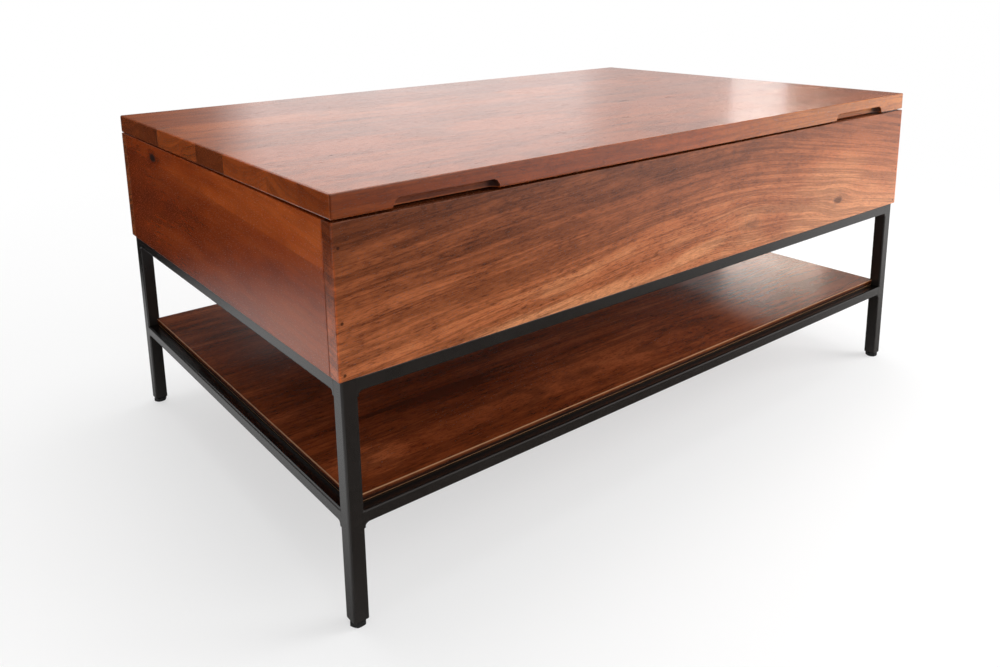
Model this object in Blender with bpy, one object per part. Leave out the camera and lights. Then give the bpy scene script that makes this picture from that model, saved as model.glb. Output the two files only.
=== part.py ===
"""Lift-top coffee table: a wooden storage box on a steel tube frame, with a lid that rises and comes forward.

The long front side faces -Y, +X runs to the right along it and +Z is up. The origin lies on the floor
under the middle of the table. All sizes are in metres.
"""
import math

import bmesh
import bpy
import numpy as np
from mathutils import Matrix, Vector

# Overall size
TABLE_LENGTH = 1.100
TABLE_DEPTH = 0.700
LEG_HEIGHT = 0.290          # floor to the underside of the box
BOX_HEIGHT = 0.166          # front panel, lower edge to upper edge
LID_THICKNESS = 0.0265
FRONT_GAP = 0.0025          # lid to front panel
REAR_GAP = 0.001            # lid to rear panel; the side panels' upper edges slope between the two

# Clearances
SEAT_GAP = 0.0003           # between pieces that touch
LAYER_GAP = 0.0004          # between the moving plates of the lift
PIN_CLEARANCE = 0.0003      # on the radius of a pin in its hole

# Wooden box
PANEL_THICKNESS = 0.019
BOTTOM_THICKNESS = 0.009
BOTTOM_RISE = 0.004         # lower edge of the panels to the bottom panel
GROOVE_DEPTH = 0.006        # how far the bottom panel goes into the panels round it
PANEL_EASE = 0.0008         # eased edges
LID_EASE = 0.0012
BLOCK_SIZE = 0.030          # corner glue blocks
BLOCK_CHAMFER = 0.016
BUMPER_HEIGHT = 0.008
BUMPER_RADIUS = 0.006
BUMPER_SHOULDER = 0.0055    # height and radius where its crown begins
BUMPER_SHOULDER_RADIUS = 0.0055
BUMPER_CROWN_RADIUS = 0.0042

# Finger notches in the lower front edge of the lid
NOTCH_START = 0.071         # lid end to notch
NOTCH_LENGTH = 0.138
NOTCH_HEIGHT = 0.011
NOTCH_DEPTH = 0.018
NOTCH_RADIUS = 0.008

# Steel frame
FRAME_INSET = 0.0035        # frame faces behind the box faces
LEG_WIDTH = 0.019
UPPER_RAIL_HEIGHT = 0.0172
LOWER_RAIL_HEIGHT = 0.0155
LOWER_RAIL_TOP = 0.137
TUBE_WALL = 0.0015
TUBE_CORNER = 0.0022        # outer corner radius
WELD_FILLET = 0.006         # hollow fillet under each rail end
SHELF_THICKNESS = 0.009
SHELF_INSET = 0.015         # frame faces to the shelf's edges
SHELF_EASE = 0.0006

# Levelling feet
FOOT_GAP = 0.0013           # pad to leg end
PAD_HEIGHT = 0.0062
PAD_FLATS = 0.017
PAD_CHAMFER = 0.0012
STEM_RADIUS = 0.004
STEM_LENGTH = 0.030         # above the pad
PLUG_LENGTH = 0.016

# Lift mechanism, seen from the side: distances along Y and Z
ARM_LENGTH = 0.250          # between the pivots of each arm
PIVOT_FORWARD = 0.060       # main lower pivot in front of the middle of the table
FOLLOWER_FORWARD = 0.090    # follower pivots in front of the main pivots
FOLLOWER_RISE = 0.020       # follower pivots above the main pivots
BRACKET_DROP = 0.069        # underside of the lid to the main upper pivot
LEVER_LENGTH = 0.028        # main lower pivot to the spring pin
LEVER_ANGLE = math.radians(212.5)
LEVER_CLEARANCE = 0.002     # over the flange of the base bracket
SPRING_REACH = 0.200        # main lower pivot to the spring post
TUBE_DISTANCE = 0.175       # main lower pivot to the cross tube, along the arm

# Lift mechanism, thicknesses and radii
PLATE_THICKNESS = 0.0025
ARM_THICKNESS = 0.004
FLANGE_WIDTH = 0.024
BASE_FLANGE_WIDTH = 0.016
PIN_RADIUS = 0.004
PIN_HEAD_RADIUS = 0.0075
PIN_HEAD = 0.002
MAIN_EYE = 0.016
ARM_EYE = 0.0135
FOLLOWER_EYE = 0.011
LEVER_EYE = 0.010
BRACKET_EYE = 0.016
BASE_MAIN_EYE = 0.020
BASE_FOLLOWER_EYE = 0.018
BASE_POST_EYE = 0.012
BRACKET_FRONT = 0.028       # follower upper pivot to the front end of the top bracket
BRACKET_REAR = 0.048        # main upper pivot to its rear end
CROSS_TUBE_RADIUS = 0.008
CROSS_TUBE_WALL = 0.0015
SCREW_HOLE = 0.0022
SCREW_MARGIN = 0.012        # bracket ends to the outer screw holes

# Lift springs
SPRING_WIRE = 0.003
SPRING_RADIUS = 0.0065      # coil axis to the middle of the wire
SPRING_TURNS = 26
SPRING_SIDE_GAP = 0.0015    # pin heads to the coil
SPRING_PIN_RADIUS = 0.0035
SPRING_PIN_HEAD = 0.0058
SPRING_LEAD = 0.012         # pin to the first turn, along the spring
HOOK_OPENING = math.radians(75)     # either side of the spring's own axis

# Fineness of round shapes
CORNER_STEPS = 2
FILLET_STEPS = 4
EYE_STEPS = 36
HOLE_SIDES = 20
PIN_SIDES = 20
PAD_SIDES = 24
CURL_POINTS = 8
HOOK_POINTS = 9
SMOOTH_ANGLE = math.radians(35)

SIDES = {"left": -1, "right": 1}
ENDS = {"front": -1, "rear": 1}

# Heights and faces that several pieces share
LID_BOTTOM = LEG_HEIGHT + BOX_HEIGHT + FRONT_GAP
BOX_HALF_X = TABLE_LENGTH / 2
BOX_HALF_Y = TABLE_DEPTH / 2
INNER_X = BOX_HALF_X - PANEL_THICKNESS
INNER_Y = BOX_HALF_Y - PANEL_THICKNESS
FRAME_HALF_X = BOX_HALF_X - FRAME_INSET
FRAME_HALF_Y = BOX_HALF_Y - FRAME_INSET
LEG_X = FRAME_HALF_X - LEG_WIDTH / 2
LEG_Y = FRAME_HALF_Y - LEG_WIDTH / 2
FRAME_TOP = LEG_HEIGHT - SEAT_GAP
LEG_BOTTOM = PAD_HEIGHT + FOOT_GAP
BOTTOM_LOW = LEG_HEIGHT + BOTTOM_RISE
BOTTOM_TOP = BOTTOM_LOW + BOTTOM_THICKNESS

# Pivots of the lift as (y, z), lid closed
BASE_FOOT = BOTTOM_TOP + SEAT_GAP
MAIN_LOWER = Vector((-PIVOT_FORWARD,
                     BASE_FOOT + PLATE_THICKNESS + LEVER_CLEARANCE + LEVER_EYE + LEVER_LENGTH))
MAIN_RISE = LID_BOTTOM - BRACKET_DROP - MAIN_LOWER.y
CLOSED_ANGLE = math.asin(MAIN_RISE / ARM_LENGTH)
ARM_VECTOR = ARM_LENGTH * Vector((math.cos(CLOSED_ANGLE), math.sin(CLOSED_ANGLE)))
FOLLOWER_OFFSET = Vector((-FOLLOWER_FORWARD, FOLLOWER_RISE))
MAIN_UPPER = MAIN_LOWER + ARM_VECTOR
FOLLOWER_LOWER = MAIN_LOWER + FOLLOWER_OFFSET
FOLLOWER_UPPER = MAIN_UPPER + FOLLOWER_OFFSET
LEVER_VECTOR = LEVER_LENGTH * Vector((math.cos(LEVER_ANGLE), math.sin(LEVER_ANGLE)))
SPRING_FRONT = MAIN_LOWER + LEVER_VECTOR
SPRING_REAR = Vector((MAIN_LOWER.x + SPRING_REACH, SPRING_FRONT.y))
CROSS_TUBE = MAIN_LOWER + ARM_VECTOR * (TUBE_DISTANCE / ARM_LENGTH)

# Layers of the lift, as depths from the inner face of a side panel
BASE_OUTER = SEAT_GAP
BASE_INNER = BASE_OUTER + PLATE_THICKNESS
ARM_OUTER = BASE_INNER + LAYER_GAP
ARM_INNER = ARM_OUTER + ARM_THICKNESS
BRACKET_OUTER = ARM_INNER + LAYER_GAP
BRACKET_INNER = BRACKET_OUTER + PLATE_THICKNESS
HEAD_INNER = BRACKET_INNER + SEAT_GAP + PIN_HEAD
SPRING_DEPTH = HEAD_INNER + SPRING_SIDE_GAP + SPRING_RADIUS + SPRING_WIRE / 2
SPRING_PIN_END = SPRING_DEPTH + SPRING_WIRE / 2 + SEAT_GAP

# How an outline's own (u, v) and its extrusion w turn into X, Y and Z
ALONG_X = Matrix(((0, 0, 1), (1, 0, 0), (0, 1, 0)))
ALONG_Y = Matrix(((0, 1, 0), (0, 0, 1), (1, 0, 0)))
ALONG_Z = Matrix.Identity(3)
UPRIGHT_ALONG_Y = Matrix(((1, 0, 0), (0, 0, 1), (0, 1, 0)))     # v stays upright


def clear_scene():
    for obj in list(bpy.data.objects):
        bpy.data.objects.remove(obj)


def make_material(name, colour, roughness, metallic):
    material = bpy.data.materials.new(name)
    material.use_nodes = True
    shader = material.node_tree.nodes["Principled BSDF"]
    shader.inputs["Base Color"].default_value = (*colour, 1)
    shader.inputs["Roughness"].default_value = roughness
    shader.inputs["Metallic"].default_value = metallic
    material.diffuse_color = (*colour, 1)
    return material


def make_empty(name, location):
    empty = bpy.data.objects.new(name, None)
    empty.location = location
    empty.empty_display_size = PIN_HEAD_RADIUS
    bpy.context.collection.objects.link(empty)
    return empty


def place(data, name, material, location, parent):
    """Link a mesh or curve as one object at a world location under its parent empty."""
    obj = bpy.data.objects.new(name, data)
    obj.parent = parent
    obj.location = Vector(location) - parent.location
    if material:
        data.materials.append(material)
    bpy.context.collection.objects.link(obj)
    return obj


def hide_cutter(obj):
    obj.hide_render = True
    obj.display_type = 'WIRE'
    return obj


def add_boolean(obj, other, operation):
    modifier = obj.modifiers.new(other.name, 'BOOLEAN')
    modifier.operation = operation
    modifier.object = hide_cutter(other)


def add_bevel(obj, width):
    modifier = obj.modifiers.new("eased_edges", 'BEVEL')
    modifier.width = width
    modifier.segments = CORNER_STEPS
    modifier.limit_method = 'ANGLE'


def finish_mesh(bm, name, smooth_angle=None):
    """Turn a closed bmesh into a mesh with its faces pointing out."""
    bmesh.ops.recalc_face_normals(bm, faces=bm.faces)
    mesh = bpy.data.meshes.new(name)
    bm.to_mesh(mesh)
    bm.free()
    if smooth_angle:
        mesh.shade_smooth()
        mesh.set_sharp_from_angle(angle=smooth_angle)
    return mesh


def circle(centre, radius, sides):
    """Points of a circle about a (u, v) centre."""
    turns = [math.tau * k / sides for k in range(sides)]
    return [(centre[0] + radius * math.cos(t), centre[1] + radius * math.sin(t)) for t in turns]


def hull(points):
    """Convex outline round (u, v) points, anticlockwise, by sweeping them from left to right."""
    ordered = sorted(set(points))

    def sweep(run):
        edge = []
        for p in run:
            while len(edge) > 1 and turn(edge[-2], edge[-1], p) <= 0:
                edge.pop()
            edge.append(p)
        return edge[:-1]

    def turn(a, b, c):
        return (b[0] - a[0]) * (c[1] - a[1]) - (b[1] - a[1]) * (c[0] - a[0])

    return sweep(ordered) + sweep(reversed(ordered))


def rounded_rectangle(width, height, radius, steps, drop=0.0):
    """Points of a rectangle about (0, 0) with round corners, anticlockwise; drop lowers its lower edge."""
    loop = []
    for quarter, (su, sv) in enumerate(((1, 1), (-1, 1), (-1, -1), (1, -1))):
        cu = su * (width / 2 - radius)
        cv = sv * (height / 2 - radius) - (drop if sv < 0 else 0.0)
        for k in range(steps + 1):
            t = math.pi / 2 * (quarter + k / steps)
            loop.append((cu + radius * math.cos(t), cv + radius * math.sin(t)))
    return loop


def extruded(outline, holes, low, high, axes):
    """Mesh of a flat outline with holes, carried along its third axis from low to high."""
    curve = bpy.data.curves.new("outline", 'CURVE')
    curve.dimensions = '2D'
    curve.fill_mode = 'BOTH'
    curve.extrude = (high - low) / 2
    for loop in [outline, *holes]:
        spline = curve.splines.new('POLY')
        spline.points.add(len(loop) - 1)
        spline.points.foreach_set("co", [c for u, v in loop for c in (u, v, 0.0, 1.0)])
        spline.use_cyclic_u = True
    carrier = bpy.data.objects.new("outline", curve)
    mesh = bpy.data.meshes.new_from_object(carrier)
    bpy.data.objects.remove(carrier)
    bpy.data.curves.remove(curve)
    bm = bmesh.new()
    bm.from_mesh(mesh)
    bpy.data.meshes.remove(mesh)
    bmesh.ops.remove_doubles(bm, verts=bm.verts, dist=1e-6)
    shift = Matrix.Translation(axes @ Vector((0, 0, (low + high) / 2)))
    bm.transform(shift @ axes.to_4x4())
    return finish_mesh(bm, "plate")


def lofted(sections, bore=None, axes=ALONG_Z):
    """Closed mesh through loops of equal count, each (w, points); bore is a loop that runs right through."""
    bm = bmesh.new()

    def ring(w, loop):
        return [bm.verts.new(axes @ Vector((u, v, w))) for u, v in loop]

    def bridge(a, b):
        for k in range(len(a)):
            n = (k + 1) % len(a)
            bm.faces.new((a[k], a[n], b[n], b[k]))

    rings = [ring(w, loop) for w, loop in sections]
    for a, b in zip(rings, rings[1:]):
        bridge(a, b)
    if bore:
        first = ring(sections[0][0], bore)
        last = ring(sections[-1][0], bore)
        bridge(last, first)
        bridge(first, rings[0])
        bridge(rings[-1], last)
    else:
        bm.faces.new(rings[0])
        bm.faces.new(rings[-1])
    return finish_mesh(bm, "loft", SMOOTH_ANGLE)


def turned(profile, sides, axes):
    """Solid of revolution about its own axis; the profile is (w, radius) from one end to the other."""
    return lofted([(w, circle((0, 0), r, sides)) for w, r in profile], axes=axes)


def box_mesh(size):
    bm = bmesh.new()
    bmesh.ops.create_cube(bm, size=1.0, matrix=Matrix.Diagonal((*size, 1.0)))
    return finish_mesh(bm, "board")


def board(name, low, high, material, parent, ease):
    """A wooden board between two corners, with eased edges."""
    low, high = Vector(low), Vector(high)
    obj = place(box_mesh(high - low), name, material, (low + high) / 2, parent)
    add_bevel(obj, ease)
    return obj


# Steel frame

def make_leg(name, x, y, steel, table):
    outer = rounded_rectangle(LEG_WIDTH, LEG_WIDTH, TUBE_CORNER, CORNER_STEPS)
    clear_width = LEG_WIDTH - 2 * TUBE_WALL
    bore = rounded_rectangle(clear_width, clear_width, TUBE_CORNER - TUBE_WALL, CORNER_STEPS)
    sections = [(0.0, outer), (FRAME_TOP - LEG_BOTTOM, outer)]
    place(lofted(sections, bore), name, steel, (x, y, LEG_BOTTOM), table)


def make_rail(name, length, height, top, axes, centre, steel, table):
    """A rail between two legs, whose underside sweeps down into them in a hollow fillet."""
    half = length / 2
    sections = []
    for k in range(FILLET_STEPS + 1):
        t = math.pi / 2 * k / FILLET_STEPS
        inward = WELD_FILLET * (1 - math.cos(t))
        drop = WELD_FILLET * (1 - math.sin(t))
        sections.append((inward - half, drop))
    sections += [(-w, drop) for w, drop in reversed(sections)]
    corner = TUBE_CORNER
    loops = [(w, rounded_rectangle(LEG_WIDTH, height, corner, CORNER_STEPS, drop)) for w, drop in sections]
    bore = rounded_rectangle(LEG_WIDTH - 2 * TUBE_WALL, height - 2 * TUBE_WALL,
                             corner - TUBE_WALL, CORNER_STEPS)
    place(lofted(loops, bore, axes), name, steel, (*centre, top - height / 2), table)


def make_frame(steel, table):
    for end, ey in ENDS.items():
        for side, sx in SIDES.items():
            make_leg(f"leg_{end}_{side}", sx * LEG_X, ey * LEG_Y, steel, table)
    long_length = 2 * (LEG_X - LEG_WIDTH / 2 - SEAT_GAP)
    short_length = 2 * (LEG_Y - LEG_WIDTH / 2 - SEAT_GAP)
    for level, height, top in (("upper", UPPER_RAIL_HEIGHT, FRAME_TOP),
                               ("lower", LOWER_RAIL_HEIGHT, LOWER_RAIL_TOP)):
        for end, ey in ENDS.items():
            make_rail(f"{level}_rail_{end}", long_length, height, top, ALONG_X,
                      (0, ey * LEG_Y), steel, table)
        for side, sx in SIDES.items():
            make_rail(f"{level}_rail_{side}", short_length, height, top, UPRIGHT_ALONG_Y,
                      (sx * LEG_X, 0), steel, table)


def make_shelf(wood, table):
    reach_x = FRAME_HALF_X - SHELF_INSET
    reach_y = FRAME_HALF_Y - SHELF_INSET
    low = LOWER_RAIL_TOP + SEAT_GAP
    shelf = board("shelf_panel", (-reach_x, -reach_y, low), (reach_x, reach_y, low + SHELF_THICKNESS),
                  wood, table, SHELF_EASE)
    # Each corner is notched round its leg
    for end, ey in ENDS.items():
        for side, sx in SIDES.items():
            notch = box_mesh((LEG_WIDTH + 2 * SEAT_GAP, LEG_WIDTH + 2 * SEAT_GAP, 4 * SHELF_THICKNESS))
            cutter = place(notch, f"shelf_notch_{end}_{side}", None, (sx * LEG_X, ey * LEG_Y, low), table)
            add_boolean(shelf, cutter, 'DIFFERENCE')


def hex_loop(flats, sides):
    """Points evenly spaced by angle on a hexagon of the given width across its flats."""
    loop = []
    for k in range(sides):
        t = math.tau * k / sides
        reach = flats / 2 / math.cos((t + math.pi / 6) % (math.pi / 3) - math.pi / 6)
        loop.append((reach * math.cos(t), reach * math.sin(t)))
    return loop


def make_feet(plastic, steel, table):
    plug_width = LEG_WIDTH - 2 * TUBE_WALL - 2 * SEAT_GAP
    plug_steps = PAD_SIDES // 4 - 1
    plug_outer = rounded_rectangle(plug_width, plug_width, TUBE_CORNER - TUBE_WALL, plug_steps)
    bore = circle((0, 0), STEM_RADIUS + PIN_CLEARANCE, PAD_SIDES)
    # The bore's points start half a corner step on, to face the rounded square's
    half_step = plug_steps // 2 + 1
    plug_outer = plug_outer[half_step:] + plug_outer[:half_step]
    bore = bore[PAD_SIDES // 4:] + bore[:PAD_SIDES // 4]
    pad = hex_loop(PAD_FLATS, PAD_SIDES)
    pad_rim = hex_loop(PAD_FLATS - 2 * PAD_CHAMFER, PAD_SIDES)
    stem = circle((0, 0), STEM_RADIUS, PAD_SIDES)
    foot = [(0.0, pad_rim), (PAD_CHAMFER, pad), (PAD_HEIGHT - PAD_CHAMFER / 2, pad),
            (PAD_HEIGHT, pad_rim), (PAD_HEIGHT, stem), (PAD_HEIGHT + STEM_LENGTH, stem)]
    for end, ey in ENDS.items():
        for side, sx in SIDES.items():
            x, y = sx * LEG_X, ey * LEG_Y
            plug = lofted([(0.0, plug_outer), (PLUG_LENGTH, plug_outer)], bore)
            place(plug, f"leg_plug_{end}_{side}", plastic, (x, y, LEG_BOTTOM), table)
            place(lofted(foot), f"levelling_foot_{end}_{side}", steel, (x, y, 0), table)


# Wooden box and lid

def make_box(wood, inner_wood, rubber, table):
    front_top = LID_BOTTOM - FRONT_GAP
    rear_top = LID_BOTTOM - REAR_GAP
    panels = [
        board("front_panel", (-BOX_HALF_X, -BOX_HALF_Y, LEG_HEIGHT), (BOX_HALF_X, -INNER_Y, front_top),
              wood, table, PANEL_EASE),
        board("rear_panel", (-BOX_HALF_X, INNER_Y, LEG_HEIGHT), (BOX_HALF_X, BOX_HALF_Y, rear_top),
              wood, table, PANEL_EASE),
    ]
    reach_y = INNER_Y - SEAT_GAP
    for side, sx in SIDES.items():
        low_x, high_x = sorted((sx * INNER_X, sx * BOX_HALF_X))
        panel = board(f"{side}_panel", (low_x, -reach_y, LEG_HEIGHT), (high_x, reach_y, rear_top),
                      wood, table, PANEL_EASE)
        for vertex in panel.data.vertices:
            if vertex.co.y < 0 < vertex.co.z:
                vertex.co.z += front_top - rear_top
        panels.append(panel)
    seat_x = INNER_X + GROOVE_DEPTH
    seat_y = INNER_Y + GROOVE_DEPTH
    groove = box_mesh((2 * seat_x, 2 * seat_y, BOTTOM_THICKNESS + 2 * SEAT_GAP))
    middle = (0, 0, (BOTTOM_LOW + BOTTOM_TOP) / 2)
    groove_cutter = place(groove, "bottom_groove", None, middle, table)
    for panel in panels:
        add_boolean(panel, groove_cutter, 'DIFFERENCE')
    reach_x, reach_y = seat_x - SEAT_GAP, seat_y - SEAT_GAP
    bottom = box_mesh((2 * reach_x, 2 * reach_y, BOTTOM_THICKNESS))
    place(bottom, "bottom_panel", inner_wood, middle, table)
    make_corner_blocks(inner_wood, rubber, table)


def make_corner_blocks(wood, rubber, table):
    """Glue blocks in the corners of the box, with a rubber bumper on each for the lid to rest on."""
    low = BOTTOM_TOP + SEAT_GAP
    high = LID_BOTTOM - 2 * SEAT_GAP - BUMPER_HEIGHT
    for end, ey in ENDS.items():
        for side, sx in SIDES.items():
            corner = Vector((sx * (INNER_X - SEAT_GAP), ey * (INNER_Y - SEAT_GAP)))
            far, cut = BLOCK_SIZE, BLOCK_SIZE - BLOCK_CHAMFER
            inward = [(0, 0), (far, 0), (far, cut), (cut, far), (0, far)]
            outline = [(-sx * u, -ey * v) for u, v in inward]
            place(extruded(outline, [], 0.0, high - low, ALONG_Z), f"corner_block_{end}_{side}", wood,
                  (corner.x, corner.y, low), table)
            profile = [(0.0, BUMPER_RADIUS), (BUMPER_SHOULDER, BUMPER_SHOULDER_RADIUS),
                       (BUMPER_HEIGHT, BUMPER_CROWN_RADIUS)]
            seat = (corner.x - sx * cut / 2, corner.y - ey * cut / 2, high + SEAT_GAP)
            place(turned(profile, PIN_SIDES, ALONG_Z), f"lid_bumper_{end}_{side}", rubber, seat, table)


def make_lid(wood, table, lid_axis):
    lid = board("lid_top", (-BOX_HALF_X, -BOX_HALF_Y, LID_BOTTOM),
                (BOX_HALF_X, BOX_HALF_Y, LID_BOTTOM + LID_THICKNESS), wood, lid_axis, LID_EASE)
    # A notch is cut in from the front, with its two upper corners rounded and its lower edge open
    depth_low, depth_high = -BOX_HALF_Y - NOTCH_DEPTH, -BOX_HALF_Y + NOTCH_DEPTH
    arch = rounded_rectangle(2 * NOTCH_HEIGHT, NOTCH_LENGTH, NOTCH_RADIUS, FILLET_STEPS)
    for side, sx in SIDES.items():
        centre = sx * (BOX_HALF_X - NOTCH_START - NOTCH_LENGTH / 2)
        cutter = place(extruded(arch, [], depth_low, depth_high, ALONG_Y), f"finger_notch_{side}", None,
                       (centre, 0, LID_BOTTOM), table)
        add_boolean(lid, cutter, 'DIFFERENCE')


# Lift mechanism

def spread(low, high, count):
    return [low + (high - low) * k / (count - 1) for k in range(count)]


def sideways(sx, depth_a, depth_b):
    """The two X values of a layer between two depths from a side panel, lowest first."""
    return sorted((sx * (INNER_X - depth_a), sx * (INNER_X - depth_b)))


def pivot_plate(name, outline, holes, sx, layer, pivot, material, parent):
    """A flat plate in the Y-Z plane, whose own origin is its pivot."""
    low, high = sideways(sx, *layer)
    local = [(u - pivot.x, v - pivot.y) for u, v in outline]
    bores = [circle(centre - pivot, radius, HOLE_SIDES) for centre, radius in holes]
    mesh = extruded(local, bores, low, high, ALONG_X)
    return place(mesh, name, material, (0, pivot.x, pivot.y), parent)


def add_flange(plate, sx, depth_a, depth_b, low_y, high_y, low_z, parent):
    """Fold a screwed flange inward from a plate: a strip with three holes, fused to it."""
    low_x, high_x = sideways(sx, depth_a, depth_b)
    outline = [(low_x, low_y), (high_x, low_y), (high_x, high_y), (low_x, high_y)]
    hole_x = sx * (INNER_X - (ARM_INNER + depth_b) / 2)
    holes = [circle((hole_x, y), SCREW_HOLE, HOLE_SIDES // 2)
             for y in spread(low_y + SCREW_MARGIN, high_y - SCREW_MARGIN, 3)]
    strip = extruded(outline, holes, 0.0, PLATE_THICKNESS, ALONG_Z)
    flange = place(strip, f"{plate.name}_flange", None, (0, 0, low_z), parent)
    add_boolean(plate, flange, 'UNION')


def make_brackets(side, sx, zinc, table, lid_axis):
    running = PIN_RADIUS + PIN_CLEARANCE
    base_low = FOLLOWER_LOWER.x - BASE_FOLLOWER_EYE
    base_high = SPRING_REAR.x + BASE_POST_EYE
    rounds = (circle(MAIN_LOWER, BASE_MAIN_EYE, EYE_STEPS)
              + circle(FOLLOWER_LOWER, BASE_FOLLOWER_EYE, EYE_STEPS)
              + circle(SPRING_REAR, BASE_POST_EYE, EYE_STEPS))
    outline = hull(rounds + [(base_low, BASE_FOOT), (base_high, BASE_FOOT)])
    holes = [(MAIN_LOWER, running), (FOLLOWER_LOWER, running),
             (SPRING_REAR, SPRING_PIN_RADIUS + PIN_CLEARANCE)]
    base = pivot_plate(f"base_bracket_{side}", outline, holes, sx, (BASE_OUTER, BASE_INNER),
                       MAIN_LOWER, zinc, table)
    add_flange(base, sx, BASE_OUTER, BASE_OUTER + BASE_FLANGE_WIDTH, base_low, base_high, BASE_FOOT, table)

    top = LID_BOTTOM - SEAT_GAP
    top_low = FOLLOWER_UPPER.x - BRACKET_FRONT
    top_high = MAIN_UPPER.x + BRACKET_REAR
    rounds = circle(MAIN_UPPER, BRACKET_EYE, EYE_STEPS) + circle(FOLLOWER_UPPER, BRACKET_EYE, EYE_STEPS)
    outline = hull(rounds + [(top_low, top), (top_high, top)])
    holes = [(MAIN_UPPER, running), (FOLLOWER_UPPER, running)]
    bracket = pivot_plate(f"top_bracket_{side}", outline, holes, sx, (BRACKET_OUTER, BRACKET_INNER),
                          MAIN_UPPER, zinc, lid_axis)
    add_flange(bracket, sx, BRACKET_OUTER, BRACKET_OUTER + FLANGE_WIDTH, top_low, top_high,
               top - PLATE_THICKNESS, table)


def make_arms(side, sx, zinc, arm_axis, follower_axis):
    running = PIN_RADIUS + PIN_CLEARANCE
    layer = (ARM_OUTER, ARM_INNER)
    rounds = (circle(MAIN_LOWER, MAIN_EYE, EYE_STEPS) + circle(MAIN_UPPER, ARM_EYE, EYE_STEPS)
              + circle(SPRING_FRONT, LEVER_EYE, EYE_STEPS))
    holes = [(MAIN_LOWER, running), (MAIN_UPPER, running),
             (CROSS_TUBE, CROSS_TUBE_RADIUS + PIN_CLEARANCE),
             (SPRING_FRONT, SPRING_PIN_RADIUS + PIN_CLEARANCE)]
    pivot_plate(f"main_arm_{side}", hull(rounds), holes, sx, layer, MAIN_LOWER, zinc, arm_axis)
    rounds = (circle(FOLLOWER_LOWER, FOLLOWER_EYE, EYE_STEPS)
              + circle(FOLLOWER_UPPER, FOLLOWER_EYE, EYE_STEPS))
    holes = [(FOLLOWER_LOWER, running), (FOLLOWER_UPPER, running)]
    pivot_plate(f"follower_arm_{side}", hull(rounds), holes, sx, layer, FOLLOWER_LOWER, zinc, follower_axis)


def make_pin(name, sx, shank_start, shank_end, radius, head_radius, pivot, steel, parent):
    """A headed pin along X: its shank runs inward between two depths, and its head follows."""
    depths = [(shank_start, radius), (shank_end, radius), (shank_end, head_radius),
              (shank_end + PIN_HEAD, head_radius)]
    profile = [(sx * (INNER_X - depth), r) for depth, r in depths]
    place(turned(profile, PIN_SIDES, ALONG_X), name, steel, (0, pivot.x, pivot.y), parent)


def make_pins(side, sx, steel, table, arm_axis, lid_axis):
    arm_head = ARM_INNER + SEAT_GAP
    bracket_head = BRACKET_INNER + SEAT_GAP
    make_pin(f"main_lower_pin_{side}", sx, BASE_OUTER, arm_head, PIN_RADIUS, PIN_HEAD_RADIUS,
             MAIN_LOWER, steel, table)
    make_pin(f"follower_lower_pin_{side}", sx, BASE_OUTER, arm_head, PIN_RADIUS, PIN_HEAD_RADIUS,
             FOLLOWER_LOWER, steel, table)
    make_pin(f"main_upper_pin_{side}", sx, ARM_OUTER, bracket_head, PIN_RADIUS, PIN_HEAD_RADIUS,
             MAIN_UPPER, steel, lid_axis)
    make_pin(f"follower_upper_pin_{side}", sx, ARM_OUTER, bracket_head, PIN_RADIUS, PIN_HEAD_RADIUS,
             FOLLOWER_UPPER, steel, lid_axis)
    make_pin(f"spring_post_{side}", sx, BASE_OUTER, SPRING_PIN_END, SPRING_PIN_RADIUS, SPRING_PIN_HEAD,
             SPRING_REAR, steel, table)
    make_pin(f"spring_lever_pin_{side}", sx, ARM_OUTER, SPRING_PIN_END, SPRING_PIN_RADIUS, SPRING_PIN_HEAD,
             SPRING_FRONT, steel, arm_axis)


def make_cross_tube(steel, arm_axis):
    half = INNER_X - ARM_OUTER
    outer = circle((0, 0), CROSS_TUBE_RADIUS, PIN_SIDES)
    bore = circle((0, 0), CROSS_TUBE_RADIUS - CROSS_TUBE_WALL, PIN_SIDES)
    tube = lofted([(-half, outer), (half, outer)], bore, ALONG_X)
    place(tube, "sync_tube", steel, (0, CROSS_TUBE.x, CROSS_TUBE.y), arm_axis)


def spring_path():
    """Middle line of a lift spring as (x, y, z) from its front hook to its rear hook, about the front pin."""
    length = SPRING_REAR.x - SPRING_FRONT.x
    hook = SPRING_PIN_RADIUS + SEAT_GAP + SPRING_WIRE / 2
    front_turn = np.linspace(math.tau - HOOK_OPENING, HOOK_OPENING, HOOK_POINTS)
    front = [(0.0, hook * math.cos(t), hook * math.sin(t)) for t in front_turn]
    count = SPRING_TURNS * CURL_POINTS
    first, last = SPRING_LEAD, length - SPRING_LEAD
    coil = []
    for k in range(count + 1):
        t = math.tau * k / CURL_POINTS
        coil.append((SPRING_RADIUS * math.sin(t), first + (last - first) * k / count,
                     SPRING_RADIUS * math.cos(t)))
    rear = [(x, length - y, z) for x, y, z in reversed(front)]
    return np.array(front + coil + rear)


def self_gap(path, wire, skip, cuts=4):
    """Least clear distance between stretches of the wire more than skip points apart, cut up finely."""
    fine = np.concatenate([np.linspace(a, b, cuts, endpoint=False) for a, b in zip(path, path[1:])])
    least = math.inf
    for k in range(len(fine) - cuts * skip):
        ahead = fine[k + cuts * skip:]
        least = min(least, np.linalg.norm(ahead - fine[k], axis=1).min())
    return least - wire


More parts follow.
